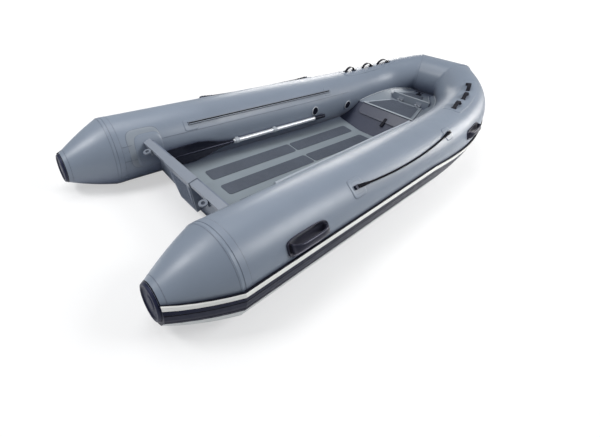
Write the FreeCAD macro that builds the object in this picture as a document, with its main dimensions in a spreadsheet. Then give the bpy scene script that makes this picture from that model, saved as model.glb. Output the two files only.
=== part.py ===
import FreeCAD, Part
import math
import os
from FreeCAD import Vector

# Rigid-hulled inflatable boat, afloat.
# Frame: millimetres, +X to the bow, +Y to port, +Z up.
# Origin on the centreline and on the waterline, just aft of the transom.

SIZES = [
    # Buoyancy tubes
    ("tube_radius", 240.0),
    ("bow_tube_radius", 173.6),
    ("tube_half_spacing", 670.9),
    ("tube_toe_in", 0.037),
    ("tube_climb", 0.014),
    ("tube_axis_height", 220.0),
    ("straight_end_x", 1633.0),
    ("mitre_x", 3165.0),
    ("mitre_half_width", 188.0),
    ("mitre_height", 500.0),
    ("bow_handle_aft", 1388.0),
    ("bow_handle_fwd", 322.0),
    ("bow_plan_angle_deg", 44.8),
    ("bow_climb", 0.222),
    ("mitre_run", 260.0),
    # Stern cones and their caps
    ("ring_x", -171.0),
    ("cap_x", -483.0),
    ("cap_y", 665.6),
    ("cap_height", 185.4),
    ("cap_radius", 98.0),
    ("cap_depth", 14.0),
    ("cap_rim_taper", 8.0),
    ("cap_tilt", -0.022),
    ("cone_fullness", 9.0),
    # Rub strake round the outside of the tubes
    ("strake_top_arc", 67.0),
    ("strake_bottom_arc", 128.0),
    ("strake_thickness", 20.0),
    ("strake_lip", 6.0),
    ("strake_turn_deg", 24.0),
    ("strake_seat_gap", 0.6),
    ("fabric_gap", 0.4),
    # Hull between the tubes
    ("floor_height", 57.0),
    ("floor_half_width", 137.0),
    ("side_panel_slope", 0.1),
    ("side_panel_edge_y", 385.0),
    ("keel_depth", 100.0),
    ("keel_half_width", 16.0),
    ("spray_rail_y", 189.0),
    ("spray_rail_depth", 47.0),
    ("spray_rail_step", 50.0),
    ("hull_nose_x", 3040.0),
    # Transom
    ("transom_rake", 0.29),
    ("transom_thickness", 24.0),
    ("transom_recess", 50.0),
    ("transom_aft_x", 31.0),
    ("transom_top", 338.0),
    ("cap_rail_width", 54.0),
    ("cap_rail_depth", 26.0),
    ("cap_rail_inset", 195.0),
    ("motor_box_half_top", 141.0),
    ("motor_box_half_bottom", 104.0),
    ("motor_box_drop", 268.0),
    ("motor_pad_thickness", 6.0),
    ("motor_pad_half_width", 150.0),
    ("motor_pad_drop", 34.0),
    ("rib_plate_thickness", 4.0),
    ("rib_plate_margin", 12.0),
    ("rib_pitch", 14.0),
    ("rib_height", 2.0),
    # Bow locker and step
    ("bulkhead_base_x", 2235.0),
    ("deck_aft_x", 2408.0),
    ("deck_height", 270.0),
    ("flange_rise", 95.0),
    ("flange_top_x", 2860.0),
    ("panel_thickness", 6.0),
    ("riser_x", 2812.0),
    ("step_height", 345.0),
    ("step_half_aft", 198.0),
    ("step_half_fwd", 68.0),
    ("ledge_foot", 293.0),
    ("step_forward_x", 3045.0),
    ("side_deck_aft", 64.0),
    ("side_deck_fwd", 124.0),
    ("rim_width", 22.0),
    ("lid_thickness", 12.0),
    ("lid_lip", 85.0),
    ("lid_lip_corner", 46.0),
    ("lid_clearance", 6.0),
    ("latch_y", -45.0),
    ("latch_top", 54.0),
    ("latch_length", 70.0),
    ("lid_hinge_setback", 14.0),
    ("hinge_half_spacing", 98.0),
    ("hinge_length", 60.0),
    ("hinge_barrel_radius", 7.0),
    ("hinge_pin_radius", 3.0),
    ("running_clearance", 0.08),
    # Deck pads
    ("pad_thickness", 3.0),
    ("pad_corner", 22.0),
    ("pad_aft_x", 418.0),
    ("pad_joint_x", 1336.0),
    ("pad_joint_gap", 18.0),
    ("pad_forward_x", 2150.0),
    ("centre_pad_half", 65.0),
    ("side_pad_inner", 154.0),
    ("side_pad_width", 119.0),
    ("seat_gap", 0.3),
    # Fittings on the tubes
    ("rail_aft_x", 414.0),
    ("rail_forward_x", 1983.0),
    ("rail_angle_deg", 138.0),
    ("rail_width", 26.0),
    ("rail_stand", 12.0),
    ("rope_radius", 6.5),
    ("anchor_patch", 74.0),
    ("anchor_stand", 2.4),
    ("loop_width", 30.0),
    ("loop_thickness", 3.5),
    ("loop_span", 110.0),
    ("loop_rise", 38.0),
    ("aft_loop_x", 2450.0),
    ("middle_loop_x", 2694.0),
    ("bow_loop_x", 2893.0),
    ("handle_length", 308.0),
    ("handle_height", 102.0),
    ("aft_handle_angle_deg", 30.5),
    ("bow_handle_angle_deg", 24.5),
    ("aft_handle_x", 265.0),
    ("bow_handle_x", 2395.0),
    ("handle_base_stand", 10.0),
    ("handle_bar_radius", 15.0),
    ("handle_bar_rise", 44.0),
    ("valve_radius", 33.0),
    ("valve_stand", 8.0),
    ("aft_valve_x", 1759.0),
    ("bow_valve_x", 2249.0),
    # Oars
    ("oar_blade_x", 190.0),
    ("oar_blade_length", 570.0),
    ("oar_blade_half", 86.0),
    ("oar_blade_thickness", 8.0),
    ("oar_neck_run", 27.0),
    ("oar_grip_length", 138.0),
    ("oar_end_x", 1885.0),
    ("oar_radius", 14.0),
    ("oar_angle_deg", -171.0),
    ("oar_grip_radius", 18.0),
    ("oar_stand", 5.0),
    ("clip_width", 30.0),
    ("aft_clip_x", 822.0),
    ("bow_clip_x", 1236.0),
    # Towing eyes
    ("eye_y", 341.0),
    ("eye_height", 334.5),
    ("eye_stand", 31.0),
    ("eye_outer_radius", 27.0),
    ("eye_hole_radius", 13.0),
    ("eye_thickness", 9.0),
    ("bow_eye_x", 2872.0),
    ("bow_eye_height", 34.0),
    ("bow_eye_hole_radius", 12.0),
    ("bow_eye_outer_radius", 24.0),
]

doc = FreeCAD.newDocument("InflatableBoat")
sheet = doc.addObject("Spreadsheet::Sheet", "Sizes")
for row, (alias, value) in enumerate(SIZES, start=1):
    sheet.set("A%d" % row, alias)
    sheet.set("B%d" % row, str(value))
    sheet.setAlias("B%d" % row, alias)
doc.recompute()


def size(name):
    """Read one driving dimension from the sheet."""
    return float(sheet.get(name))


NODES = []


def keep(label, obj):
    """Name a sub-part and list it for export."""
    obj.Label = label
    NODES.append((label, obj))
    return obj


def feature(label, shape):
    """A sub-part whose shape is set directly."""
    obj = doc.addObject("Part::Feature", label)
    obj.Shape = shape
    return keep(label, obj)


def mirrored(label, source):
    """The starboard twin of a port sub-part."""
    obj = doc.addObject("Part::Mirroring", label)
    obj.Source = source
    obj.Normal = Vector(0, 1, 0)
    return keep(label, obj)


def flipped(shape):
    return shape.mirror(Vector(0, 0, 0), Vector(0, 1, 0))


def both_sides(label, port_shapes):
    """One node that holds like pieces on the port and the starboard side."""
    solids = []
    for shape in port_shapes:
        solids.append(shape)
        solids.append(flipped(shape))
    return feature(label, Part.makeCompound(solids))


def placed(shape, origin, x_dir, y_dir, z_dir):
    """Carry a shape drawn in world axes into a local frame."""
    frame = FreeCAD.Placement(origin, FreeCAD.Rotation(x_dir, y_dir, z_dir, "XYZ"))
    copy = shape.copy()
    copy.Placement = frame.multiply(copy.Placement)
    return copy


def polygon(points):
    return Part.makePolygon(points + [points[0]])


def prism(points, vector):
    """Solid from a closed flat outline pushed along a vector."""
    return Part.Face(polygon(points)).extrude(vector)


def rounded(shape, radius, axis):
    """Round the edges of a plate that run along an axis."""
    edges = [e for e in shape.Edges if abs(e.tangentAt(e.FirstParameter).dot(axis)) > 0.99]
    return shape.makeFillet(radius, edges)


def largest(shape):
    """The biggest solid of a boolean result."""
    return max(shape.Solids, key=lambda solid: solid.Volume)


# Tube centreline, port side

R_TUBE = size("tube_radius")
R_BOW = size("bow_tube_radius")
AXIS = Vector(1, -size("tube_toe_in"), size("tube_climb")).normalize()
AXIS_START = Vector(0, size("tube_half_spacing"), size("tube_axis_height"))
STRAIGHT_END = size("straight_end_x")


def straight_point(x):
    """Point of the port tube's straight axis at station x."""
    return AXIS_START + AXIS * (x / AXIS.x)


BEND_START = straight_point(STRAIGHT_END)
BEND_END = Vector(size("mitre_x"), size("mitre_half_width"), size("mitre_height"))
PLAN = math.radians(size("bow_plan_angle_deg"))
BEND_EXIT = Vector(math.cos(PLAN), -math.sin(PLAN), size("bow_climb")).normalize()
BEND_POLES = [
    BEND_START,
    BEND_START + AXIS * size("bow_handle_aft"),
    BEND_END - BEND_EXIT * size("bow_handle_fwd"),
    BEND_END,
]


def bend_point(t):
    """Point, direction and radius of the curved stretch, t from 0 to 1."""
    p0, p1, p2, p3 = BEND_POLES
    s = 1 - t
    point = p0 * s ** 3 + p1 * (3 * t * s ** 2) + p2 * (3 * t ** 2 * s) + p3 * t ** 3
    slope = (p1 - p0) * (3 * s ** 2) + (p2 - p1) * (6 * t * s) + (p3 - p2) * (3 * t ** 2)
    return point, slope.normalize(), R_TUBE + (R_BOW - R_TUBE) * t


def station_at(x):
    """Point, direction and radius of the port tube where its axis crosses station x."""
    if x <= STRAIGHT_END:
        return straight_point(x), AXIS, R_TUBE
    low, high = 0.0, 1.0
    for step in range(30):
        middle = (low + high) / 2
        if bend_point(middle)[0].x < x:
            low = middle
        else:
            high = middle
    return bend_point(low)


TRACE = [bend_point(step / 240.0) for step in range(241)]


def even_sections(count):
    """Sections of the curved stretch at even spacing along it."""
    run = [0.0]
    for before, after in zip(TRACE, TRACE[1:]):
        run.append(run[-1] + (after[0] - before[0]).Length)
    sections = []
    for step in range(count + 1):
        goal = run[-1] * step / count
        index = min(range(len(run)), key=lambda i: abs(run[i] - goal))
        sections.append(TRACE[index])
    return sections


def clear_of_tube(point):
    """Distance from a point to the port tube's skin."""
    along = (point - AXIS_START).dot(AXIS)
    on_axis = AXIS_START + AXIS * min(along, (BEND_START - AXIS_START).Length)
    nearest = (point - on_axis).Length - R_TUBE
    if point.x > STRAIGHT_END - 400:
        for centre, direction, radius in TRACE:
            nearest = min(nearest, (point - centre).Length - radius)
    return nearest


def skin_y(x, z, gap):
    """Half width at station x and height z, up to the inner side of the port tube."""
    outer = station_at(x)[0].y
    low, high = outer - 900.0, outer
    for step in range(26):
        middle = (low + high) / 2
        if clear_of_tube(Vector(x, middle, z)) > gap:
            low = middle
        else:
            high = middle
    return low


def frame_at(direction):
    """Outboard and upward unit vectors square to the tube's direction."""
    outboard = Vector(0, 0, 1).cross(direction).normalize()
    upward = direction.cross(outboard).normalize()
    return outboard, upward


def on_tube(x, angle_deg, stand=0.0):
    """Point on the port tube's skin, its normal and the tube's direction; 0 is outboard, 90 the top."""
    centre, direction, radius = station_at(x)
    outboard, upward = frame_at(direction)
    angle = math.radians(angle_deg)
    normal = outboard * math.cos(angle) + upward * math.sin(angle)
    return centre + normal * (radius + stand), normal, direction


def circle_wire(centre, direction, radius):
    outboard, upward = frame_at(direction)
    edge = Part.Circle(Vector(0, 0, 0), Vector(0, 0, 1), radius).toShape()
    return Part.Wire(placed(edge, centre, outboard, upward, direction))


BEND_STEPS = 13
# The mitre plane halves the turn between the side tube and the bow tube
MITRE_NORMAL = (BEND_EXIT + Vector(0, -1, 0)).normalize()
MITRE_RUN = size("mitre_run")


def mitre_block(normal):
    """A block that fills the space beyond the port mitre plane."""
    reach = 900.0
    block = Part.makeBox(2 * reach, 2 * reach, reach, Vector(-reach, -reach, 0))
    block.Placement = FreeCAD.Placement(BEND_END, FreeCAD.Rotation(Vector(0, 0, 1), normal))
    return block


def side_tube():
    """Port side tube from the stern ring to the bow mitre."""
    start = straight_point(size("ring_x"))
    run = (BEND_START - start).Length
    straight = Part.makeCylinder(R_TUBE, run, start, AXIS)
    wires = [circle_wire(*section) for section in even_sections(BEND_STEPS)]
    bend = Part.makeLoft(wires, True, False)
    tip = Part.makeCylinder(R_BOW, MITRE_RUN, BEND_END, BEND_EXIT)
    return straight.fuse([bend, tip]).cut(mitre_block(MITRE_NORMAL))


def bow_tube(extra=0.0):
    """The tube across the bow, between the two mitres."""
    half = size("mitre_half_width") + MITRE_RUN
    start = Vector(BEND_END.x, -half, BEND_END.z)
    body = Part.makeCylinder(R_BOW + extra, 2 * half, start, Vector(0, 1, 0))
    port_end = mitre_block(MITRE_NORMAL * -1)
    return body.cut([port_end, flipped(port_end)])


tube_port = feature("tube_port", side_tube())
mirrored("tube_starboard", tube_port)
bow_shape = bow_tube()
feature("tube_bow", bow_shape)

# Stern cones and caps

CAP_CENTRE = Vector(size("cap_x"), size("cap_y"), size("cap_height"))
CAP_FORWARD = Vector(1, 0, size("cap_tilt")).normalize()
RING_CENTRE = straight_point(size("ring_x"))


def cone_station(share):
    """Centre, direction and radius on the stern cone, share 0 at the ring and 1 at the cap."""
    centre = RING_CENTRE * (1 - share) + CAP_CENTRE * share
    direction = (AXIS * (1 - share) + CAP_FORWARD * share).normalize()
    fullness = size("cone_fullness") * 4 * share * (1 - share)
    radius = R_TUBE * (1 - share) + size("cap_radius") * share + fullness
    return centre, direction, radius


CONE_SHARES = [1.0, 0.8, 0.6, 0.4, 0.2, 0.0]
cone_wires = [circle_wire(*cone_station(share)) for share in CONE_SHARES]
cone_port = feature("cone_port", Part.makeLoft(cone_wires, True, False))
mirrored("cone_starboard", cone_port)

end_cap = doc.addObject("Part::Cone", "end_cap_port")
end_cap.setExpression("Radius1", "Sizes.cap_radius")
end_cap.setExpression("Radius2", "Sizes.cap_radius - Sizes.cap_rim_taper")
end_cap.setExpression("Height", "Sizes.cap_depth")
end_cap.Placement = FreeCAD.Placement(CAP_CENTRE, FreeCAD.Rotation(Vector(0, 0, 1), CAP_FORWARD * -1))
keep("end_cap_port", end_cap)
mirrored("end_cap_starboard", end_cap)

# Rub strake: a moulded band wrapped round the outer side of cone, tube and bow

STRAKE_STEPS = 8


def strake_outline(centre, direction, radius, turn=0.0):
    """Closed outline of the strake on a round section, arcs measured from the widest point."""
    outboard, upward = frame_at(direction)
    top = size("strake_top_arc") / radius - turn
    bottom = -size("strake_bottom_arc") / radius - turn
    # The chords between the corners clear the skin, so the corners stand a little further out
    half_step = (top - bottom) / STRAKE_STEPS / 2
    seat = (radius + size("strake_seat_gap")) / math.cos(half_step) - radius

    def at(angle, stand):
        return centre + (outboard * math.cos(angle) + upward * math.sin(angle)) * (radius + stand)

    inner = []
    outer = []
    for step in range(STRAKE_STEPS + 1):
        angle = top + (bottom - top) * step / STRAKE_STEPS
        inner.append(at(angle, seat))
        inside = 0 < step < STRAKE_STEPS
        outer.append(at(angle, size("strake_thickness") if inside else size("strake_lip")))
    return polygon(inner + outer[::-1])


STRAKE_TURN = math.radians(size("strake_turn_deg"))


def turned_outline(centre, direction, radius):
    """Outline on the curved stretch, where the strake sinks below the widest point."""
    share = (R_TUBE - radius) / (R_TUBE - R_BOW)
    return strake_outline(centre, direction, radius, STRAKE_TURN * min(1.0, share / 0.3))


def side_strake():
    """Strake along the port side from the cap to the mitre."""
    cone = Part.makeLoft([strake_outline(*cone_station(share)) for share in CONE_SHARES], True, False)
    ring = strake_outline(RING_CENTRE, AXIS, R_TUBE)
    straight = Part.makeLoft([ring, strake_outline(BEND_START, AXIS, R_TUBE)], True, True)
    bend_wires = [turned_outline(*section) for section in even_sections(BEND_STEPS)]
    tip_end = strake_outline(BEND_END + BEND_EXIT * MITRE_RUN, BEND_EXIT, R_BOW, STRAKE_TURN)
    tip = Part.makeLoft([bend_wires[-1], tip_end], True, True)
    return cone.fuse([straight, Part.makeLoft(bend_wires, True, False), tip]).cut(mitre_block(MITRE_NORMAL))


def bow_strake():
    """The same band across the bow tube."""
    half = size("mitre_half_width") + MITRE_RUN
    wires = []
    for y in (half, -half):
        wires.append(strake_outline(Vector(BEND_END.x, y, BEND_END.z), Vector(0, -1, 0), R_BOW, STRAKE_TURN))
    port_end = mitre_block(MITRE_NORMAL * -1)
    return Part.makeLoft(wires, True, True).cut([port_end, flipped(port_end)])


strake_port = feature("strake_port", side_strake())
mirrored("strake_starboard", strake_port)
feature("strake_bow", bow_strake())

# Hull: V bottom below, walkway and inclined side panels above


def blend(x, stations, values):
    """Value at x from a short run of stations."""
    for low, high, start, end in zip(stations, stations[1:], values, values[1:]):
        if x <= high:
            share = max(0.0, (x - low) / (high - low))
            return start + (end - start) * share
    return values[-1]


LINES_X = [1700.0, 2290.0, 2600.0, 2900.0, size("hull_nose_x")]
KEEL = [-size("keel_depth"), -80.0, -30.0, 70.0, 190.0]
RAIL_Y = [size("spray_rail_y"), 168.0, 128.0, 80.0, 44.0]
RAIL_Z = [-size("spray_rail_depth"), -24.0, 44.0, 148.0, 250.0]
RAIL_STEP = [size("spray_rail_step"), 46.0, 34.0, 24.0, 14.0]
FLOOR_Z = [size("floor_height"), size("floor_height"), 110.0, 205.0, 296.0]
FLOOR_HALF = [size("floor_half_width"), size("floor_half_width"), 80.0, 40.0, 20.0]
CHINE_X = [0.0, STRAIGHT_END, 2200.0, 2600.0, 2900.0, size("hull_nose_x")]
# How far below the tube's axis the hull meets it, as a share of the tube's radius
CHINE_SHARE = [0.658, 0.76, 0.83, 0.85, 0.85, 0.80]
CHINE_DEPTH_SHARE = 0.083


def panel_height(y):
    """Height of the inclined side panel at half width y."""
    return size("floor_height") + size("side_panel_slope") * (y - size("floor_half_width"))


def hull_outline(x):
    """Full outline of the hull at station x."""
    centre, direction, radius = station_at(x)
    low = centre.z - blend(x, CHINE_X, CHINE_SHARE) * radius
    high = low + CHINE_DEPTH_SHARE * radius
    gap = 0.3 if x <= STRAIGHT_END else 0.8
    keel = blend(x, LINES_X, KEEL)
    rail_y = blend(x, LINES_X, RAIL_Y)
    rail_z = blend(x, LINES_X, RAIL_Z)
    floor = blend(x, LINES_X, FLOOR_Z)
    chine_in = skin_y(x, high, gap)
    edge_y = min(size("side_panel_edge_y"), chine_in - 14)
    edge_z = max(panel_height(edge_y), high - 8)
    middle = (low + high) / 2
    half = [
        Vector(x, size("keel_half_width"), keel),
        Vector(x, rail_y, rail_z),
        Vector(x, rail_y + 3, rail_z + blend(x, LINES_X, RAIL_STEP)),
        Vector(x, skin_y(x, low, gap), low),
        Vector(x, skin_y(x, middle, gap), middle),
        Vector(x, chine_in, high),
        Vector(x, edge_y, edge_z),
        Vector(x, blend(x, LINES_X, FLOOR_HALF), floor),
    ]
    starboard = [Vector(p.x, -p.y, p.z) for p in reversed(half)]
    return polygon(half + starboard)


HULL_STATIONS = [0.0, STRAIGHT_END / 3, STRAIGHT_END * 2 / 3, STRAIGHT_END]
HULL_STATIONS += [1700.0, 1850.0, 2000.0, 2100.0, 2160.0, 2220.0, 2290.0, 2400.0]
HULL_STATIONS += [2500.0, 2600.0, 2700.0, 2800.0, 2900.0, 2970.0, size("hull_nose_x")]

# The transom is drawn upright and leans about the aft top edge of its cap rail

RAKE_POINT = Vector(size("transom_aft_x"), 0, size("transom_top"))
RAKE_DEG = math.degrees(math.atan(size("transom_rake")))


def raked(shape):
    """Lean a shape drawn upright so that its foot moves forward."""
    copy = shape.copy()
    copy.rotate(RAKE_POINT, Vector(0, 1, 0), -RAKE_DEG)
    return copy


straight_room = Part.makeCylinder(R_TUBE + size("seat_gap"), 2200, straight_point(-400), AXIS)
STRAIGHT_ROOM = [straight_room, flipped(straight_room)]

hull_body = Part.makeLoft([hull_outline(x) for x in HULL_STATIONS], True, True)
wing_front = size("transom_aft_x") + size("transom_recess") + size("transom_thickness")
aft_block = raked(Part.makeBox(600, 1600, 1600, Vector(wing_front - 600 + size("seat_gap"), -800, -900)))
feature("hull", hull_body.cut(aft_block))


def transom_plate():
    """Recessed plate between the tubes with a box for the motor."""
    aft = size("transom_aft_x")
    wing = aft + size("transom_recess")
    top = size("transom_top") - size("cap_rail_depth") - size("seat_gap")
    wide = size("tube_half_spacing") - 130
    # Heights are stretched because the plate leans
    lean = math.cos(math.radians(RAKE_DEG))
    over = size("transom_top")

    def level(z):
        return over - (over - z) / lean

    rail_y = size("spray_rail_y")
    outline = []
    for side in (1, -1):
        flank = [
            Vector(wing, 0, level(-size("keel_depth") - 2)),
            Vector(wing, side * rail_y, level(-size("spray_rail_depth"))),
            Vector(wing, side * (rail_y + 3), level(size("spray_rail_step") - size("spray_rail_depth"))),
            Vector(wing, side * wide, level(56)),
            Vector(wing, side * wide, top),
        ]
        outline += flank if side == 1 else flank[:0:-1]
    wing_plate = prism(outline, Vector(size("transom_thickness"), 0, 0))
    foot = top - size("motor_box_drop")
    box = prism([
        Vector(aft, size("motor_box_half_top"), top), Vector(aft, -size("motor_box_half_top"), top),
        Vector(aft, -size("motor_box_half_bottom"), foot), Vector(aft, size("motor_box_half_bottom"), foot),
    ], Vector(size("transom_recess") + 1, 0, 0))
    return raked(wing_plate.fuse(box)).cut(STRAIGHT_ROOM)


transom_shape = transom_plate()
feature("transom", transom_shape)

rail_half = size("tube_half_spacing") - size("cap_rail_inset")
cap_rail = raked(Part.makeBox(
    size("cap_rail_width"), 2 * rail_half, size("cap_rail_depth"),
    Vector(size("transom_aft_x"), -rail_half, size("transom_top") - size("cap_rail_depth"))
)).cut(STRAIGHT_ROOM)
feature("transom_cap", cap_rail)


def motor_pad():
    """Moulded cover over the middle of the cap rail, with an aft skirt."""
    thick = size("motor_pad_thickness")
    half = size("motor_pad_half_width")
    aft = size("transom_aft_x") - size("seat_gap")
    top = size("transom_top") + size("seat_gap")
    fore = size("transom_aft_x") + size("cap_rail_width") + size("seat_gap")
    profile = [
        Vector(aft - thick, -half, top + thick), Vector(fore + thick, -half, top + thick),
        Vector(fore + thick, -half, top - size("cap_rail_depth")),
        Vector(fore, -half, top - size("cap_rail_depth")),
        Vector(fore, -half, top), Vector(aft, -half, top),
        Vector(aft, -half, top - size("motor_pad_drop")),
        Vector(aft - thick, -half, top - size("motor_pad_drop")),
    ]
    return raked(prism(profile, Vector(0, 2 * half, 0)))


feature("motor_pad", motor_pad())


def rib_plate():
    """Ribbed protection plate on the aft face of the box."""
    margin = size("rib_plate_margin")
    top = size("transom_top") - size("motor_pad_drop") - 3
    foot = top - size("motor_box_drop") + 34
    face = size("transom_aft_x") - size("seat_gap")
    half_top = size("motor_box_half_top") - margin
    half_foot = size("motor_box_half_bottom") - margin
    plate = prism([
        Vector(face, half_top, top), Vector(face, -half_top, top),
        Vector(face, -half_foot, foot), Vector(face, half_foot, foot),
    ], Vector(-size("rib_plate_thickness"), 0, 0))
    ribs = []
    count = int(2 * (half_foot - 8) / size("rib_pitch"))
    first = -count * size("rib_pitch") / 2
    for index in range(count + 1):
        y = first + index * size("rib_pitch")
        ribs.append(Part.makeBox(
            size("rib_height") + 1, 5, top - foot - 24,
            Vector(face - size("rib_plate_thickness") - size("rib_height"), y - 2.5, foot + 12)
        ))
    return raked(plate.fuse(ribs))


feature("motor_plate", rib_plate())


def towing_eye():
    """Level ring plate aft of the rail, on a leg that runs under the rail to a foot on the wing."""
    thick = size("eye_thickness")
    eye = Vector(size("transom_aft_x") - size("eye_stand"), size("eye_y"), size("eye_height"))
    disc = Part.makeCylinder(size("eye_outer_radius"), thick, eye - Vector(0, 0, thick / 2), Vector(0, 0, 1))
    reach = size("eye_stand") + size("transom_recess") - size("seat_gap")
    under_cap = size("transom_top") - size("cap_rail_depth") - 3 - size("eye_height")
    half = 13.0
    leg = prism([
        eye + Vector(10, -half, -thick / 2), eye + Vector(10, -half, thick / 2),
        eye + Vector(25, -half, thick / 2), eye + Vector(29, -half, under_cap),
        eye + Vector(reach, -half, under_cap),
        eye + Vector(reach, -half, under_cap - 18), eye + Vector(20, -half, under_cap - 14),
        eye + Vector(18, -half, -thick / 2),
    ], Vector(0, 2 * half, 0))
    foot = Part.makeBox(5, 54, 62, eye + Vector(reach - 5, -27, under_cap - 60))
    below = eye - Vector(0, 0, 2 * thick)
    hole = Part.makeCylinder(size("eye_hole_radius"), 4 * thick, below, Vector(0, 0, 1))
    return raked(disc.fuse([leg, foot]).cut(hole))


both_sides("towing_eyes", [towing_eye()])

# Deck pads


def floor_pads():
    """Ribbed grip pads: two rows of three."""
    gap = size("seat_gap")
    half_joint = size("pad_joint_gap") / 2
    spans = [
        (size("pad_aft_x"), size("pad_joint_x") - half_joint),
        (size("pad_joint_x") + half_joint, size("pad_forward_x")),
    ]
    tilt = math.degrees(math.atan(size("side_panel_slope")))
    solids = []
    for start, end in spans:
        centre = Part.makeBox(end - start, 2 * size("centre_pad_half"), size("pad_thickness"))
        centre = rounded(centre, size("pad_corner"), Vector(0, 0, 1))
        centre.translate(Vector(start, -size("centre_pad_half"), size("floor_height") + gap))
        solids.append(centre)
        side = Part.makeBox(end - start, size("side_pad_width"), size("pad_thickness"))
        side = rounded(side, size("pad_corner"), Vector(0, 0, 1))
        side.rotate(Vector(0, 0, 0), Vector(1, 0, 0), tilt)
        side.translate(Vector(start, size("side_pad_inner"), panel_height(size("side_pad_inner")) + gap))
        solids.append(side)
        solids.append(flipped(side))
    return Part.makeCompound(solids)


feature("floor_pads", floor_pads())

# Bow locker

DECK = size("deck_height")
PANEL = size("panel_thickness")
LEAN = (size("deck_aft_x") - size("bulkhead_base_x")) / (DECK - size("floor_height"))


def bulkhead():
    """Leaning aft face of the locker, fitted to the hull panels and the tubes."""
    def x_at(z):
        return size("bulkhead_base_x") + LEAN * (z - size("floor_height"))

    top = DECK - PANEL - size("seat_gap")
    low = size("floor_height") + size("seat_gap") + 0.2
    base = station_at(x_at(90))
    high = base[0].z - (blend(x_at(90), CHINE_X, CHINE_SHARE) - CHINE_DEPTH_SHARE) * base[2]
    edge = min(size("side_panel_edge_y"), skin_y(x_at(high), high, 2.0) - 14)
    edge_z = max(panel_height(edge), high - 8) + 1.2
    half = [Vector(x_at(low), 0, low), Vector(x_at(low), size("floor_half_width"), low)]
    half.append(Vector(x_at(edge_z), edge, edge_z))
    rows = 5
    for row in range(rows + 1):
        z = high + 1.5 + (top - high - 1.5) * row / rows
        half.append(Vector(x_at(z), skin_y(x_at(z), z, 1.3), z))
    starboard = [Vector(p.x, -p.y, p.z) for p in half[:0:-1]]
    return prism(half + starboard, Vector(PANEL, 0, 0))


feature("locker_bulkhead", bulkhead())


LID_HALF_AFT = skin_y(size("deck_aft_x"), DECK, 0.0) - size("side_deck_aft")
LID_HALF_FWD = skin_y(size("riser_x"), DECK, 0.0) - size("side_deck_fwd")


def lid_half(x):
    """Half width of the lid opening at station x."""
    share = (x - size("deck_aft_x")) / (size("riser_x") - size("deck_aft_x"))
    return LID_HALF_AFT + (LID_HALF_FWD - LID_HALF_AFT) * share


def flange_height(x):
    """Height at which the moulding meets the tube."""
    share = (x - size("deck_aft_x")) / (size("flange_top_x") - size("deck_aft_x"))
    return DECK + size("flange_rise") * max(0.0, min(1.0, share)) ** 0.8


def step_half(x):
    """Half width of the step at station x."""
    share = (x - size("riser_x")) / (size("step_forward_x") - size("riser_x"))
    return size("step_half_aft") + (size("step_half_fwd") - size("step_half_aft")) * share


def side_deck():
    """Port side deck between the lid opening and the tube, rising to its flange."""
    wires = []
    steps = 5
    end = size("riser_x") - size("seat_gap")
    for step in range(steps + 1):
        x = size("deck_aft_x") + (end - size("deck_aft_x")) * step / steps
        inner = lid_half(x) - size("rim_width")
        ramp = lid_half(x) + size("lid_clearance") + 10
        z = flange_height(x)
        wires.append(polygon([
            Vector(x, inner, DECK), Vector(x, ramp, DECK), Vector(x, skin_y(x, z, 0.8), z + 1),
            Vector(x, skin_y(x, z - PANEL, 0.8), z - PANEL), Vector(x, ramp, DECK - PANEL),
            Vector(x, inner, DECK - PANEL),
        ]))
    return Part.makeLoft(wires, True, True).fuse(step_ledge())


def step_ledge():
    """Port ledge between the step's flank and the tube, forward of the riser."""
    wires = []
    steps = 4
    start = size("riser_x") - size("seat_gap")
    end = size("step_forward_x")
    for step in range(steps + 1):
        x = start + (end - start) * step / steps
        inner = step_half(x) + size("seat_gap")
        z = flange_height(x)
        foot = size("ledge_foot") + (size("step_height") - 8 - size("ledge_foot")) * step / steps
        wires.append(polygon([
            Vector(x, inner, foot), Vector(x, skin_y(x, z, 0.8), z + 1),
            Vector(x, skin_y(x, z - PANEL, 0.8), z - PANEL), Vector(x, inner, foot - PANEL),
        ]))
    return Part.makeLoft(wires, True, True).cut(bow_tube(size("seat_gap")))


def aft_rim():
    """Rim under the aft edge of the lid."""
    x = size("deck_aft_x")
    inner = lid_half(x) - size("rim_width") - size("seat_gap")
    far = lid_half(x + 26) - size("rim_width") - size("seat_gap")
    return prism([
        Vector(x, inner, DECK - PANEL), Vector(x + 26, far, DECK - PANEL),
        Vector(x + 26, -far, DECK - PANEL), Vector(x, -inner, DECK - PANEL),
    ], Vector(0, 0, PANEL))


port_deck = side_deck()
feature("bow_deck", Part.makeCompound([port_deck, flipped(port_deck), aft_rim()]))


def bow_step():
    """Moulded step forward of the locker; its riser carries the lid."""
    wires = []
    steps = 4
    start = size("riser_x")
    front = size("step_forward_x")
    for step in range(steps + 1):
        x = start + (front - start) * step / steps
        low = blend(x, [start, 2900.0, front], [DECK - 8, DECK + 6, size("step_height") - 23])
        half = step_half(x)
        top = size("step_height")
        wires.append(polygon([
            Vector(x, half, low), Vector(x, half, top), Vector(x, -half, top), Vector(x, -half, low),
        ]))
    return largest(Part.makeLoft(wires, True, True).cut(bow_tube(size("seat_gap"))))


feature("bow_step", bow_step())

# Locker lid with a turned-down aft lip, hinged at the foot of the riser

LID_BASE = DECK + size("seat_gap")
LID_AFT = size("deck_aft_x") - size("lid_clearance")
LID_FORE = size("riser_x") - size("lid_hinge_setback") - size("hinge_barrel_radius") - 3
HINGE = Vector(size("riser_x") - size("lid_hinge_setback"), 0, LID_BASE)
HINGE.z += size("lid_thickness") + size("hinge_barrel_radius")


def lid_outline(aft, fore, inset, z):
    return [
        Vector(aft, lid_half(aft) - inset, z), Vector(fore, lid_half(fore) - inset, z),
        Vector(fore, -lid_half(fore) + inset, z), Vector(aft, -lid_half(aft) + inset, z),
    ]


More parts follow.
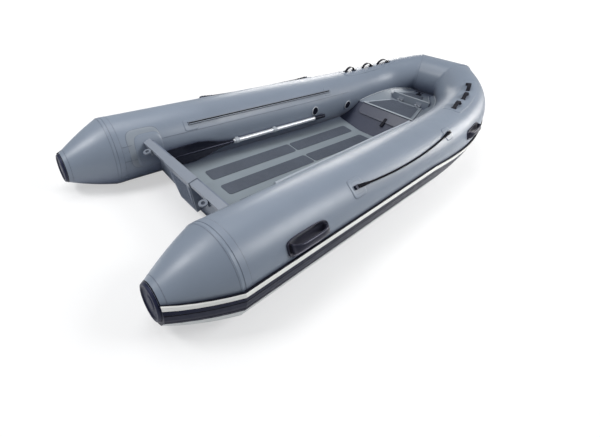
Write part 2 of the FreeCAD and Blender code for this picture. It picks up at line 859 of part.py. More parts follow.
def lip_plate(half):
    """Turned-down plate with two round corners, parallel to the leaning bulkhead."""
    lean = math.atan(LEAN)
    thick = size("lid_thickness") * 0.6 * math.cos(lean)
    height = size("lid_lip") / math.cos(lean)
    overlap = 8.0
    plate = Part.makeBox(thick, 2 * half, height + overlap, Vector(-thick, -half, -height))
    feet = [e for e in plate.Edges if e.BoundBox.ZMax < 1 - height and e.BoundBox.YLength < 1]
    plate = plate.makeFillet(size("lid_lip_corner"), feet)
    plate.rotate(Vector(0, 0, 0), Vector(0, 1, 0), math.degrees(lean))
    plate.translate(Vector(LID_AFT + 0.5, 0, LID_BASE))
    return plate


def lid():
    thick = size("lid_thickness")
    top = prism(lid_outline(LID_AFT, LID_FORE, 0, LID_BASE), Vector(0, 0, thick))
    half = lid_half(LID_AFT)
    nose = Part.makeBox(thick * 0.6 + 0.5, 2 * half, thick, Vector(LID_AFT - thick * 0.6, -half, LID_BASE))
    pieces = [nose, lip_plate(half)]
    third = size("hinge_length") / 3
    for side in (-1, 1):
        start = side * size("hinge_half_spacing") - third / 2
        pieces.append(Part.makeCylinder(
            size("hinge_barrel_radius"), third, Vector(HINGE.x, start, HINGE.z), Vector(0, 1, 0)
        ))
        pieces.append(Part.makeBox(46, third, 4, Vector(HINGE.x - 46, start, HINGE.z - 7)))
    shape = top.fuse(pieces)
    for side in (-1, 1):
        start = side * size("hinge_half_spacing") - size("hinge_length")
        shape = shape.cut(Part.makeCylinder(
            size("hinge_pin_radius") + size("running_clearance"), 2 * size("hinge_length"),
            Vector(HINGE.x, start, HINGE.z), Vector(0, 1, 0)
        ))
    return shape


feature("locker_lid", lid())


def hinges():
    """Fixed hinge leaves on the riser, with their pins."""
    solids = []
    third = size("hinge_length") / 3
    length = third - 0.5
    reach = size("riser_x") - size("seat_gap")
    for side in (-1, 1):
        y = side * size("hinge_half_spacing")
        first = y - size("hinge_length") / 2
        parts = []
        for start in (first, y + third / 2 + 0.5):
            parts.append(Part.makeCylinder(
                size("hinge_barrel_radius"), length, Vector(HINGE.x, start, HINGE.z), Vector(0, 1, 0)
            ))
            parts.append(Part.makeBox(reach - HINGE.x, length, 5, Vector(HINGE.x, start, HINGE.z - 2.5)))
        parts.append(Part.makeBox(3, size("hinge_length"), 34, Vector(reach - 3, first, HINGE.z - 2.5)))
        pin = Part.makeCylinder(
            size("hinge_pin_radius"), size("hinge_length"), Vector(HINGE.x, first, HINGE.z), Vector(0, 1, 0)
        )
        solids.append(pin.fuse(parts))
    return Part.makeCompound(solids)


feature("lid_hinges", hinges())

pad_base = LID_BASE + size("lid_thickness") + size("seat_gap")
lid_pad = prism(lid_outline(LID_AFT + 24, LID_FORE - 48, 28, pad_base), Vector(0, 0, size("pad_thickness")))
feature("lid_pad", rounded(lid_pad, 12, Vector(0, 0, 1)))


def lid_latch():
    """Rubber strap latch on the lid's lip, reaching down over the bulkhead."""
    top = LID_BASE - size("latch_top")
    foot = top - size("latch_length")
    out = size("lid_thickness") * 0.6 + size("seat_gap")

    def x_at(z):
        return LID_AFT - (LID_BASE - z) * LEAN - out

    y = size("latch_y") - 17
    return prism([
        Vector(x_at(top), y, top), Vector(x_at(foot), y, foot),
        Vector(x_at(foot) - 9, y, foot + 4), Vector(x_at(top) - 9, y, top + 4),
    ], Vector(0, 34, 0))


feature("lid_latch", lid_latch())

step_top = size("step_height") + size("seat_gap")
step_pad = prism([
    Vector(size("riser_x") + 18, 112, step_top), Vector(size("riser_x") + 122, 69, step_top),
    Vector(size("riser_x") + 122, -69, step_top), Vector(size("riser_x") + 18, -112, step_top),
], Vector(0, 0, size("pad_thickness")))
feature("step_pad", rounded(step_pad, 10, Vector(0, 0, 1)))


def bow_cleat():
    """Black mooring cleat on the step."""
    foot = Vector(size("riser_x") + 150, 0, step_top)
    base = Part.makeBox(34, 50, 7, foot - Vector(17, 25, 0))
    post = Part.makeCylinder(9, 20, foot + Vector(0, 0, 6), Vector(0, 0, 1))
    bar = Part.makeCylinder(7, 80, foot + Vector(0, -40, 28), Vector(0, 1, 0))
    return base.fuse([post, bar])


feature("bow_cleat", bow_cleat())

# Fittings on the tubes


def seat_rail():
    """Slotted sailtrack along the inner shoulder of the tube."""
    angle = size("rail_angle_deg")
    start, normal, direction = on_tube(size("rail_aft_x"), angle, size("fabric_gap"))
    across = normal.cross(direction).normalize()
    half = size("rail_width") / 2
    stand = size("rail_stand")
    slot = 5.0
    run = 0.0
    end_x = min(size("rail_forward_x"), STRAIGHT_END)

    def outline(origin, side, out):
        profile = [
            (-half, 0.3), (half, 0.3), (half * 0.75, stand), (slot, stand), (slot, stand - 7),
            (-slot, stand - 7), (-slot, stand), (-half * 0.75, stand),
        ]
        return polygon([origin + side * a + out * b for a, b in profile])

    wires = [outline(start, across, normal)]
    for x in (end_x, 1760.0, 1880.0, size("rail_forward_x")):
        point, out, along = on_tube(x, angle, size("fabric_gap") + 0.4)
        wires.append(outline(point, out.cross(along).normalize(), out))
    return Part.makeLoft(wires, True, True)


rail_port = feature("seat_rail_port", seat_rail())
mirrored("seat_rail_starboard", rail_port)

# Lifeline route: station and angle on the tube, hanging in a shallow sag

LIFELINE = [
    (732, 53.4), (830, 50.9), (970, 48.1), (1120, 46.2), (1270, 45.4),
    (1420, 45.7), (1570, 47.2), (1720, 49.7), (1850, 52.3), (1950, 54.6),
]


def lifeline_points():
    return [on_tube(x, angle, size("rope_radius") + 3.0)[0] for x, angle in LIFELINE]


def cord_path(points):
    """Straight runs joined by tangent arcs, each as large as its two runs allow."""
    edges = []
    radii = []
    last = points[0]
    for before, corner, after in zip(points, points[1:], points[2:]):
        back = before - corner
        ahead = after - corner
        reach = 0.45 * min(back.Length, ahead.Length)
        back.normalize()
        ahead.normalize()
        turn = math.pi - back.getAngle(ahead)
        radius = reach / math.tan(turn / 2)
        radii.append(radius)
        start = corner + back * reach
        end = corner + ahead * reach
        inward = (back + ahead).normalize()
        centre = corner + inward * (radius / math.cos(turn / 2))
        edges.append(Part.LineSegment(last, start).toShape())
        edges.append(Part.Arc(start, centre - inward * radius, end).toShape())
        last = end
    edges.append(Part.LineSegment(last, points[-1]).toShape())
    return Part.Wire(edges), radii


def cord_tube(points, radius):
    path, radii = cord_path(points)
    circle = Part.Circle(points[0], (points[1] - points[0]).normalize(), radius)
    tube = path.makePipeShell([Part.Wire(circle.toShape())], True, True)
    share = tube.Volume / (math.pi * radius ** 2 * path.Length)
    print("cord length %.1f mm, volume share %.4f, bend radii %s" % (
        path.Length, share, [round(r) for r in radii]))
    return tube


rope_port = feature("lifeline_port", cord_tube(lifeline_points(), size("rope_radius")))
mirrored("lifeline_starboard", rope_port)


def near_skin(x, reach, extra=0.3):
    """A short stretch of the port tube, to fit things to its skin."""
    if x + reach < STRAIGHT_END:
        run = 2 * reach / AXIS.x
        return Part.makeCylinder(R_TUBE + extra, run, straight_point(x - reach), AXIS)
    wires = []
    for step in range(5):
        centre, direction, radius = station_at(x - reach + reach * step / 2)
        wires.append(circle_wire(centre, direction, radius + extra))
    return Part.makeLoft(wires, True, False)


def patch(x, angle, radius, stand):
    """Round moulded boss whose foot follows the tube's skin."""
    sink = radius * radius / (2 * R_BOW) + 3
    point, normal, direction = on_tube(x, angle, -sink)
    return Part.makeCylinder(radius, sink + stand, point, normal).cut(near_skin(x, radius * 3))


def anchor(end, onward):
    """Lifeline anchor: a thin square patch on the skin and a block with a socket for the rope's end."""
    x, angle = end
    half = size("anchor_patch") / 2
    point, normal, direction = on_tube(x, angle, 0.0)
    across = normal.cross(direction).normalize()
    square = rounded(Part.makeBox(2 * half, 2 * half, 30, Vector(-half, -half, -20)), 12, Vector(0, 0, 1))
    square = placed(square, point, direction, across, normal)
    skin = near_skin(x, 3 * half)
    patch_plate = square.common(near_skin(x, 3 * half, size("anchor_stand")))
    block = rounded(Part.makeBox(34, 26, 17, Vector(-17, -13, 0)), 6, Vector(0, 0, 1))
    block = placed(block, point, direction, across, normal)
    rope_end = lifeline_points()[0 if onward > 0 else -1]
    rope_next = lifeline_points()[1 if onward > 0 else -2]
    along = (rope_next - rope_end).normalize()
    socket = Part.makeCylinder(
        size("rope_radius") + size("fabric_gap"), 60, rope_end - along * size("seat_gap"), along
    )
    return largest(patch_plate.fuse(block).cut(skin).cut(socket))


# Each socket's block sits a little beyond the end of the rope
ANCHOR_SET = 4.0
both_sides("lifeline_anchors", [
    anchor((LIFELINE[0][0] - ANCHOR_SET, LIFELINE[0][1]), 1),
    anchor((LIFELINE[-1][0] + ANCHOR_SET, LIFELINE[-1][1]), -1),
])


def grab_loop(x, angle):
    """Webbing strap that stands up from the tube in an arch."""
    point, normal, direction = on_tube(x, angle, 1.5)
    across = normal.cross(direction).normalize()
    span = size("loop_span") / 2
    rise = size("loop_rise")
    thick = size("loop_thickness")
    shares = [(-1, 0), (-0.6, 0.72), (0, 1), (0.6, 0.72), (1, 0)]
    inner_points = [Vector(a * span, 0, b * rise) for a, b in shares]
    outer_points = [Vector(a * (span + thick), 0, b * (rise + thick)) for a, b in shares]
    inner = Part.BSplineCurve()
    inner.interpolate(inner_points)
    outer = Part.BSplineCurve()
    outer.interpolate(outer_points)
    wire = Part.Wire([
        outer.toShape(), Part.LineSegment(outer_points[-1], inner_points[-1]).toShape(),
        inner.toShape(), Part.LineSegment(inner_points[0], outer_points[0]).toShape(),
    ])
    strap = Part.Face(wire).extrude(Vector(0, size("loop_width"), 0))
    strap.translate(Vector(0, -size("loop_width") / 2, 0))
    feet = []
    for sign in (-1, 1):
        foot = Part.makeBox(36, size("loop_width") + 8, 9)
        foot.translate(Vector(sign * (span + 6) - 18, -(size("loop_width") + 8) / 2, -6))
        feet.append(foot)
    shape = placed(strap.fuse(feet), point, direction, across, normal)
    return largest(shape.cut(near_skin(x, 130)))


LOOPS = [(size("aft_loop_x"), 90.0), (size("middle_loop_x"), 91.0), (size("bow_loop_x"), 95.0)]
loops_port = feature("grab_loops_port", Part.makeCompound([grab_loop(x, angle) for x, angle in LOOPS]))
mirrored("grab_loops_starboard", loops_port)


def carry_handle(x, angle):
    """Moulded handle: an oval base on the tube and a raised bar over it."""
    point, normal, direction = on_tube(x, angle, 0.0)
    across = normal.cross(direction).normalize()
    length = size("handle_length")
    half = length / 2
    height = size("handle_height")
    stand = size("handle_base_stand")
    base = Part.makeBox(length, height, stand + 34, Vector(-half, -height / 2, -34))
    base = rounded(base, height * 0.4, Vector(0, 0, 1))
    rise = size("handle_bar_rise")
    reach = length * 0.36
    radius = size("handle_bar_radius")
    bar = [Part.makeCylinder(radius, 1.6 * reach, Vector(-0.8 * reach, 0, rise), Vector(1, 0, 0))]
    for sign in (-1, 1):
        foot = Vector(sign * reach, 0, 2)
        top = Vector(sign * reach * 0.8, 0, rise)
        bar.append(Part.makeCylinder(radius, (top - foot).Length, foot, top - foot))
        bar.append(Part.makeSphere(radius, top))
    shape = placed(base.fuse(bar), point, direction, across, normal)
    return largest(shape.cut(near_skin(x, length)))


HANDLES = [
    (size("aft_handle_x"), size("aft_handle_angle_deg")), (size("bow_handle_x"), size("bow_handle_angle_deg"))
]
handles_port = feature("carry_handles_port", Part.makeCompound([carry_handle(*spot) for spot in HANDLES]))
mirrored("carry_handles_starboard", handles_port)

VALVES = [(size("aft_valve_x"), 174.0), (size("bow_valve_x"), 183.0)]
both_sides("valves", [patch(x, angle, size("valve_radius"), size("valve_stand")) for x, angle in VALVES])

# Oars along the inner side of each tube


NECK_X = size("oar_blade_x") + size("oar_blade_length") * AXIS.x + size("oar_neck_run")
GRIP_X = size("oar_end_x") - size("oar_grip_length")


def oar_frame(x):
    return on_tube(x, size("oar_angle_deg"), size("oar_radius") + size("oar_stand"))


def oar_blade():
    """Flat blade with a spine that becomes the lower shaft."""
    point, normal, direction = oar_frame(size("oar_blade_x"))
    across = normal.cross(direction).normalize()
    length = size("oar_blade_length")
    half = size("oar_blade_half")
    shares = [(0, 0.86), (0.03, 0.94), (0.45, 1.0), (0.62, 0.8), (0.8, 0.42), (1.0, 0.2)]
    upper = [Vector(a * length, b * half, 0) for a, b in shares]
    lower = [Vector(p.x, -p.y, 0) for p in reversed(upper)]
    thick = size("oar_blade_thickness")
    flat = prism([p - Vector(0, 0, thick / 2) for p in upper + lower], Vector(0, 0, thick))
    neck = (NECK_X - size("oar_blade_x")) / AXIS.x
    spine = Part.makeCylinder(size("oar_radius") - 2, neck, Vector(0, 0, 0), Vector(1, 0, 0))
    return placed(flat.fuse(spine), point, direction, across, normal)


def oar_run(x_start, x_end, radius):
    """Round stretch of the oar between two stations, straight past the bend."""
    start = oar_frame(size("oar_blade_x"))[0] + AXIS * ((x_start - size("oar_blade_x")) / AXIS.x)
    return Part.makeCylinder(radius, (x_end - x_start) / AXIS.x, start, AXIS)


blade_port = feature("oar_blade_port", oar_blade())
mirrored("oar_blade_starboard", blade_port)
shaft = oar_run(NECK_X + size("seat_gap"), GRIP_X - size("seat_gap"), size("oar_radius"))
both_sides("oar_shafts", [shaft])
both_sides("oar_grips", [oar_run(GRIP_X, size("oar_end_x"), size("oar_grip_radius"))])


def oar_clip(x):
    """Ring clip round the shaft, its foot on the tube."""
    point, normal, direction = oar_frame(x)
    across = normal.cross(direction).normalize()
    wide = size("clip_width")
    outer = Part.makeCylinder(size("oar_radius") + 7, wide, Vector(-wide / 2, 0, 0), Vector(1, 0, 0))
    foot = Part.makeBox(wide, 46, 24, Vector(-wide / 2, -23, -30))
    hole = Part.makeCylinder(size("oar_radius") + 0.3, 2 * wide, Vector(-wide, 0, 0), Vector(1, 0, 0))
    shape = placed(outer.fuse(foot).cut(hole), point, direction, across, normal)
    return largest(shape.cut(near_skin(x, 100)))


both_sides("oar_clips", [oar_clip(size("aft_clip_x")), oar_clip(size("bow_clip_x"))])

# Towing eye at the stem


def bow_eye():
    """Ring plate that stands forward from the stem."""
    thick = 12.0
    eye = Vector(size("bow_eye_x"), 0, size("bow_eye_height"))
    start = eye - Vector(0, thick / 2, 0)
    disc = Part.makeCylinder(size("bow_eye_outer_radius"), thick, start, Vector(0, 1, 0))
    web = Part.makeBox(60, thick, 34, eye + Vector(-60, -thick / 2, -6))
    first = start - Vector(0, thick, 0)
    hole = Part.makeCylinder(size("bow_eye_hole_radius"), 3 * thick, first, Vector(0, 1, 0))
    room = hull_body.copy()
    return largest(disc.fuse(web).cut(hole).cut(room))


feature("bow_eye", bow_eye())

# Check every object, then write the sub-parts

doc.recompute()
for obj in doc.Objects:
    if "Invalid" in obj.State or "Error" in obj.State:
        raise RuntimeError("object failed: " + obj.Label)
for label, obj in NODES:
    shape = obj.Shape
    if shape.isNull() or not shape.isValid() or not shape.Solids:
        raise RuntimeError("bad shape: " + label)

os.makedirs("parts", exist_ok=True)
for label, obj in NODES:
    obj.Shape.exportStep("parts/%s.step" % label)
volume = sum(obj.Shape.Volume for label, obj in NODES)
print("nodes", len(NODES), "volume m3 %.3f" % (volume / 1e9))
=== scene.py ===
import bpy
import bmesh
import math
from mathutils import Vector, Matrix


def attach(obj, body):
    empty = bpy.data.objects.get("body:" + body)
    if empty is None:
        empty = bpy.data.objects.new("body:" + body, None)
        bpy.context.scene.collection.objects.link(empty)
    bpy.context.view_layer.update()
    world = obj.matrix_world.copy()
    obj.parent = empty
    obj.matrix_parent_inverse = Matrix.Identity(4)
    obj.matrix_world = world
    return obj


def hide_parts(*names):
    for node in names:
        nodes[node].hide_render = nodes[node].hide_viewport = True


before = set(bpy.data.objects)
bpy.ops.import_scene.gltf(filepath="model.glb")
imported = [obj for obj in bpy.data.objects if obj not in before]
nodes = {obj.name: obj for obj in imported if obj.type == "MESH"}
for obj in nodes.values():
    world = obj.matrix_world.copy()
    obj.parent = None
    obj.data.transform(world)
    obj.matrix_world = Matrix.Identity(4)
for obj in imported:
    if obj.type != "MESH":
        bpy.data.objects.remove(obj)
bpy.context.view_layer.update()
scene = bpy.context.scene
scene.view_settings.view_transform = "Standard"

SIDES = ((1, "port"), (-1, "starboard"))

# Tube centreline in metres, the same numbers as in the part's source

R_TUBE = 0.240
R_BOW = 0.1736
STRAIGHT_END = 1.633
BEND_REACH = 1.388
EXIT_REACH = 0.322
RING_X = -0.171
CAP = Vector((-0.483, 0.6656, 0.1854))
CAP_R = 0.098
CONE_BULGE = 0.009
FORWARD = Vector((1, 0, -0.022)).normalized()
AXIS = Vector((1, -0.037, 0.014)).normalized()
START = Vector((0, 0.6709, 0.220))
MITRE = Vector((3.165, 0.188, 0.500))
PLAN = math.radians(44.8)
EXIT = Vector((math.cos(PLAN), -math.sin(PLAN), 0.222)).normalized()
ACROSS = Vector((0, -1, 0))
MITRE_NORMAL = (EXIT + ACROSS).normalized()


def straight(x):
    return START + AXIS * (x / AXIS.x)


P0 = straight(STRAIGHT_END)
POLES = [P0, P0 + AXIS * BEND_REACH, MITRE - EXIT * EXIT_REACH, MITRE]


def bend(t):
    """Centre, direction and radius on the curved stretch, t from 0 to 1."""
    a, b, c, d = POLES
    s = 1 - t
    point = a * s ** 3 + b * (3 * t * s * s) + c * (3 * t * t * s) + d * t ** 3
    slope = (b - a) * (3 * s * s) + (c - b) * (6 * t * s) + (d - c) * (3 * t * t)
    return point, slope.normalized(), R_TUBE + (R_BOW - R_TUBE) * t


def halve(low, high, inside, times):
    """Largest value from low upwards that is still inside."""
    for step in range(times):
        middle = (low + high) / 2
        if inside(middle):
            low = middle
        else:
            high = middle
    return low


def station(x):
    """Centre, direction and radius where the port tube's axis crosses x."""
    if x <= STRAIGHT_END:
        return straight(x), AXIS, R_TUBE
    return bend(halve(0.0, 1.0, lambda t: bend(t)[0].x < x, 30))


def cone(share):
    """Centre, direction and radius on the stern cone, from its seam at 0 to its cap at 1."""
    centre = straight(RING_X).lerp(CAP, share)
    direction = AXIS.lerp(FORWARD, share).normalized()
    radius = R_TUBE + (CAP_R - R_TUBE) * share + CONE_BULGE * 4 * share * (1 - share)
    return centre, direction, radius


def square(direction):
    """Outboard and upward directions at right angles to a direction."""
    outboard = Vector((0, 0, 1)).cross(direction).normalized()
    return outboard, direction.cross(outboard).normalized()


def spoke(direction, angle):
    """Unit vector round a direction; 0 is outboard, half pi the top."""
    outboard, upward = square(direction)
    return outboard * math.cos(angle) + upward * math.sin(angle)


def skin(section, angle, stand=0.0):
    """Point and normal at an angle on a section's skin."""
    centre, direction, radius = section
    normal = spoke(direction, angle)
    return centre + normal * (radius + stand), normal


def on_tube(x, degrees, stand=0.0):
    """Point, normal and direction on the port tube's skin."""
    section = station(x)
    point, normal = skin(section, math.radians(degrees), stand)
    return point, normal, section[1]


def on_mitre(angle, reach):
    """Point where the skins of the side tube and the bow tube meet."""
    point = MITRE + spoke(ACROSS, angle) * reach
    return point - ACROSS * ((point - MITRE).dot(MITRE_NORMAL) / ACROSS.dot(MITRE_NORMAL))


def side_of(point, side):
    return Vector((point.x, point.y * side, point.z))


def mirrored(lines, side):
    return [[side_of(point, side) for point in line] for line in lines]


def angles_round(count):
    return [2 * math.pi * step / count for step in range(count)]


# Nodes that the materials share

DRIFT_LOW = 0.3
DRIFT_HIGH = 0.7
MIX_SHARE = 0
MIX_FIRST = 6
MIX_SECOND = 7
MIX_COLOUR = 2
EVEN = (1, 1, 1)


def grey(value):
    return (value, value, value)


def new_material(name):
    material = bpy.data.materials.new(name)
    material.use_nodes = True
    tree = material.node_tree
    tree.nodes.clear()
    out = tree.nodes.new("ShaderNodeOutputMaterial")
    shader = tree.nodes.new("ShaderNodeBsdfPrincipled")
    tree.links.new(shader.outputs[0], out.inputs[0])
    return material, tree, shader


def coords(tree, scale=EVEN):
    where = tree.nodes.new("ShaderNodeTexCoord")
    mapping = tree.nodes.new("ShaderNodeMapping")
    mapping.inputs["Scale"].default_value = scale
    tree.links.new(where.outputs["Object"], mapping.inputs[0])
    return mapping.outputs[0]


def noise(tree, scale, detail, stretch=EVEN):
    node = tree.nodes.new("ShaderNodeTexNoise")
    node.inputs["Scale"].default_value = scale
    node.inputs["Detail"].default_value = detail
    tree.links.new(coords(tree, stretch), node.inputs["Vector"])
    return node.outputs["Fac"]


def ramp(tree, source, stops):
    """Colour ramp between two stops."""
    node = tree.nodes.new("ShaderNodeValToRGB")
    for element, (place, colour) in zip(node.color_ramp.elements, stops):
        element.position = place
        element.color = (*colour, 1)
    tree.links.new(source, node.inputs[0])
    return node.outputs[0]


def drifting(tree, source, colour, spread):
    """Colour that drifts darker and lighter by a spread."""
    darker = tuple(c * (1 - spread) for c in colour)
    lighter = tuple(c * (1 + spread) for c in colour)
    return ramp(tree, source, [(DRIFT_LOW, darker), (DRIFT_HIGH, lighter)])


def uneven_gloss(tree, shader, source, low, high):
    """Roughness that drifts between two values."""
    value = ramp(tree, source, [(DRIFT_LOW, grey(low)), (DRIFT_HIGH, grey(high))])
    tree.links.new(value, shader.inputs["Roughness"])


def bump(tree, source, strength, distance, below=None):
    node = tree.nodes.new("ShaderNodeBump")
    node.inputs["Strength"].default_value = strength
    node.inputs["Distance"].default_value = distance
    tree.links.new(source, node.inputs["Height"])
    if below is not None:
        tree.links.new(below, node.inputs["Normal"])
    return node.outputs[0]


def maths(tree, operation, first, second):
    node = tree.nodes.new("ShaderNodeMath")
    node.operation = operation
    tree.links.new(first, node.inputs[0])
    tree.links.new(second, node.inputs[1])
    return node.outputs[0]


def map_range(tree, source, start, end, low=0.0, high=1.0):
    node = tree.nodes.new("ShaderNodeMapRange")
    node.inputs["From Min"].default_value = start
    node.inputs["From Max"].default_value = end
    node.inputs["To Min"].default_value = low
    node.inputs["To Max"].default_value = high
    tree.links.new(source, node.inputs["Value"])
    return node.outputs["Result"]


def mixed(tree, first, second, share=None):
    """Colours mixed by a share, or multiplied where there is none."""
    mix = tree.nodes.new("ShaderNodeMix")
    mix.data_type = "RGBA"
    if share is None:
        mix.blend_type = "MULTIPLY"
        mix.inputs[MIX_SHARE].default_value = 1.0
    else:
        tree.links.new(share, mix.inputs[MIX_SHARE])
    tree.links.new(first, mix.inputs[MIX_FIRST])
    tree.links.new(second, mix.inputs[MIX_SECOND])
    return mix.outputs[MIX_COLOUR]


def painted_crevice_shade(tree, source, painted_shade_darkest, reach=0.12):
    """Colour that dims towards a bluish painted shade in corners and hollows, by ambient occlusion."""
    hollow = tree.nodes.new("ShaderNodeAmbientOcclusion")
    hollow.inputs["Distance"].default_value = reach
    hollow.samples = 8
    stops = [(0.25, (painted_shade_darkest * 0.96, painted_shade_darkest, painted_shade_darkest * 1.25)), (0.85, grey(1))]
    return mixed(tree, source, ramp(tree, hollow.outputs["AO"], stops))


def stripes(tree, direction, scale, place):
    wave = tree.nodes.new("ShaderNodeTexWave")
    wave.wave_type = "BANDS"
    wave.bands_direction = direction
    wave.inputs["Scale"].default_value = scale
    tree.links.new(place, wave.inputs["Vector"])
    return wave.outputs["Fac"]


def crossed_stripes(tree, directions, scale):
    place = coords(tree)
    first, second = [stripes(tree, direction, scale, place) for direction in directions]
    return maths(tree, "MULTIPLY", first, second)


def stripe_scale(pitch):
    """Scale at which the wave texture repeats once in a pitch."""
    return math.pi / (10 * pitch)


# Kinds of finish


def plain(name, colour, rough, spread=0.07, grain=900.0, grain_depth=0.00012, blotch=6.0,
          specular=0.5, metallic=0.0, coat=0.0, tint=EVEN, painted_shade_darkest=1.0):
    """Slight colour drift, uneven gloss and a fine grain, with painted shade in corners where the darkest
    value is below one.
    """
    material, tree, shader = new_material(name)
    paint = drifting(tree, noise(tree, blotch, 4.0), colour, spread)
    # Painted shade that dims the colour in corners and hollows
    if painted_shade_darkest < 1.0:
        paint = painted_crevice_shade(tree, paint, painted_shade_darkest)
    tree.links.new(paint, shader.inputs["Base Color"])
    uneven_gloss(tree, shader, noise(tree, blotch * 5, 5.0), rough * 0.88, rough * 1.12)
    tree.links.new(bump(tree, noise(tree, grain, 2.0), 0.35, grain_depth), shader.inputs["Normal"])
    shader.inputs["Specular Tint"].default_value = (*tint, 1)
    shader.inputs["Specular IOR Level"].default_value = specular
    shader.inputs["Metallic"].default_value = metallic
    shader.inputs["Coat Weight"].default_value = coat
    return material


def fabric(name, colour):
    """Coated fabric: faint weave and slack under a satin coat, with painted shade where other surfaces come
    near.
    """
    material, tree, shader = new_material(name)
    paint = drifting(tree, noise(tree, 2.2, 5.0), colour, 0.05)
    # Painted shade where other surfaces come near, such as under the tubes
    tree.links.new(painted_crevice_shade(tree, paint, 0.42, 0.30), shader.inputs["Base Color"])
    uneven_gloss(tree, shader, noise(tree, 14.0, 5.0), 0.33, 0.40)
    weave = bump(tree, crossed_stripes(tree, ("X", "Z"), 90.0), 0.12, 0.0002)
    slack = bump(tree, noise(tree, 7.0, 2.0), 0.06, 0.004, weave)
    tree.links.new(slack, shader.inputs["Normal"])
    shader.inputs["Specular IOR Level"].default_value = 0.45
    shader.inputs["Sheen Weight"].default_value = 0.08
    return material


def ribbed(name, colour, rough, direction, pitch, depth, specular=0.5):
    """Surface with fine straight ribs, its colour darker between the ribs as painted shade."""
    material, tree, shader = new_material(name)
    wave = stripes(tree, direction, stripe_scale(pitch), coords(tree))
    paint = drifting(tree, noise(tree, 9.0, 4.0), colour, 0.08)
    # Painted shade between the ribs, following the rib bump
    painted_relief_shade = ramp(tree, wave, [(0.15, grey(0.72)), (0.6, grey(1.06))])
    tree.links.new(mixed(tree, paint, painted_relief_shade), shader.inputs["Base Color"])
    uneven_gloss(tree, shader, noise(tree, 40.0, 4.0), rough * 0.9, rough * 1.1)
    ribs = bump(tree, wave, 0.6, depth)
    grained = bump(tree, noise(tree, 1500.0, 2.0), 0.2, 0.0001, ribs)
    tree.links.new(grained, shader.inputs["Normal"])
    shader.inputs["Specular IOR Level"].default_value = specular
    return material


def facing_painted_shade(name, upper, lower, rough):
    """Gelcoat moulding in its light colour on the faces that look up, with painted shade on its upright
    faces.
    """
    material, tree, shader = new_material(name)
    facing = tree.nodes.new("ShaderNodeNewGeometry")
    split = tree.nodes.new("ShaderNodeSeparateXYZ")
    tree.links.new(facing.outputs["True Normal"], split.inputs[0])
    # Share of the light top colour; upright faces take the painted shade colour
    lit_face_share = map_range(tree, split.outputs["Z"], 0.80, 0.92)
    drift = noise(tree, 6.0, 4.0)
    dark = drifting(tree, drift, lower, 0.05)
    light = drifting(tree, drift, upper, 0.05)
    tree.links.new(mixed(tree, dark, light, lit_face_share), shader.inputs["Base Color"])
    uneven_gloss(tree, shader, noise(tree, 30.0, 5.0), rough * 0.9, rough * 1.1)
    tree.links.new(bump(tree, noise(tree, 900.0, 2.0), 0.35, 0.00012), shader.inputs["Normal"])
    shader.inputs["Coat Weight"].default_value = 0.1
    return material


def checkered(name, colour, rough, pitch, depth):
    """Moulded rubber with a fine grip of small squares, lighter on the squares and darker between them as
    painted light and shade.
    """
    material, tree, shader = new_material(name)
    grip = crossed_stripes(tree, ("X", "Y"), stripe_scale(pitch))
    paint = drifting(tree, noise(tree, 7.0, 4.0), colour, 0.07)
    # Painted light on the squares and painted shade between them, following the grip bump
    painted_relief_shade = ramp(tree, grip, [(0.1, grey(0.86)), (0.6, grey(1.14))])
    tree.links.new(mixed(tree, paint, painted_relief_shade), shader.inputs["Base Color"])
    uneven_gloss(tree, shader, noise(tree, 30.0, 4.0), rough * 0.9, rough * 1.1)
    tree.links.new(bump(tree, grip, 0.5, depth), shader.inputs["Normal"])
    return material


def brushed(name, colour, rough):
    """Drawn metal with faint streaks along X."""
    material, tree, shader = new_material(name)
    streaks = noise(tree, 60.0, 3.0, (0.04, 1, 1))
    tree.links.new(drifting(tree, streaks, colour, 0.04), shader.inputs["Base Color"])
    uneven_gloss(tree, shader, streaks, rough * 0.92, rough * 1.08)
    shader.inputs["Metallic"].default_value = 0.65
    return material


def webbing(name, dark, worn):
    """Webbing with a diagonal weave and paler, worn patches."""
    material, tree, shader = new_material(name)
    paint = ramp(tree, noise(tree, 22.0, 3.0), [(0.35, dark), (0.7, worn)])
    tree.links.new(paint, shader.inputs["Base Color"])
    uneven_gloss(tree, shader, noise(tree, 60.0, 3.0), 0.42, 0.58)
    weave = stripes(tree, "DIAGONAL", 110.0, coords(tree))
    tree.links.new(bump(tree, weave, 0.5, 0.0006), shader.inputs["Normal"])
    shader.inputs["Specular IOR Level"].default_value = 0.25
    return material


# Materials, and the source's pieces that wear them

GELCOAT = {"grain": 400.0, "grain_depth": 0.00005}
RUBBER_TINT = (0.55, 0.58, 0.80)
SOFT_TINT = (0.6, 0.64, 0.9)

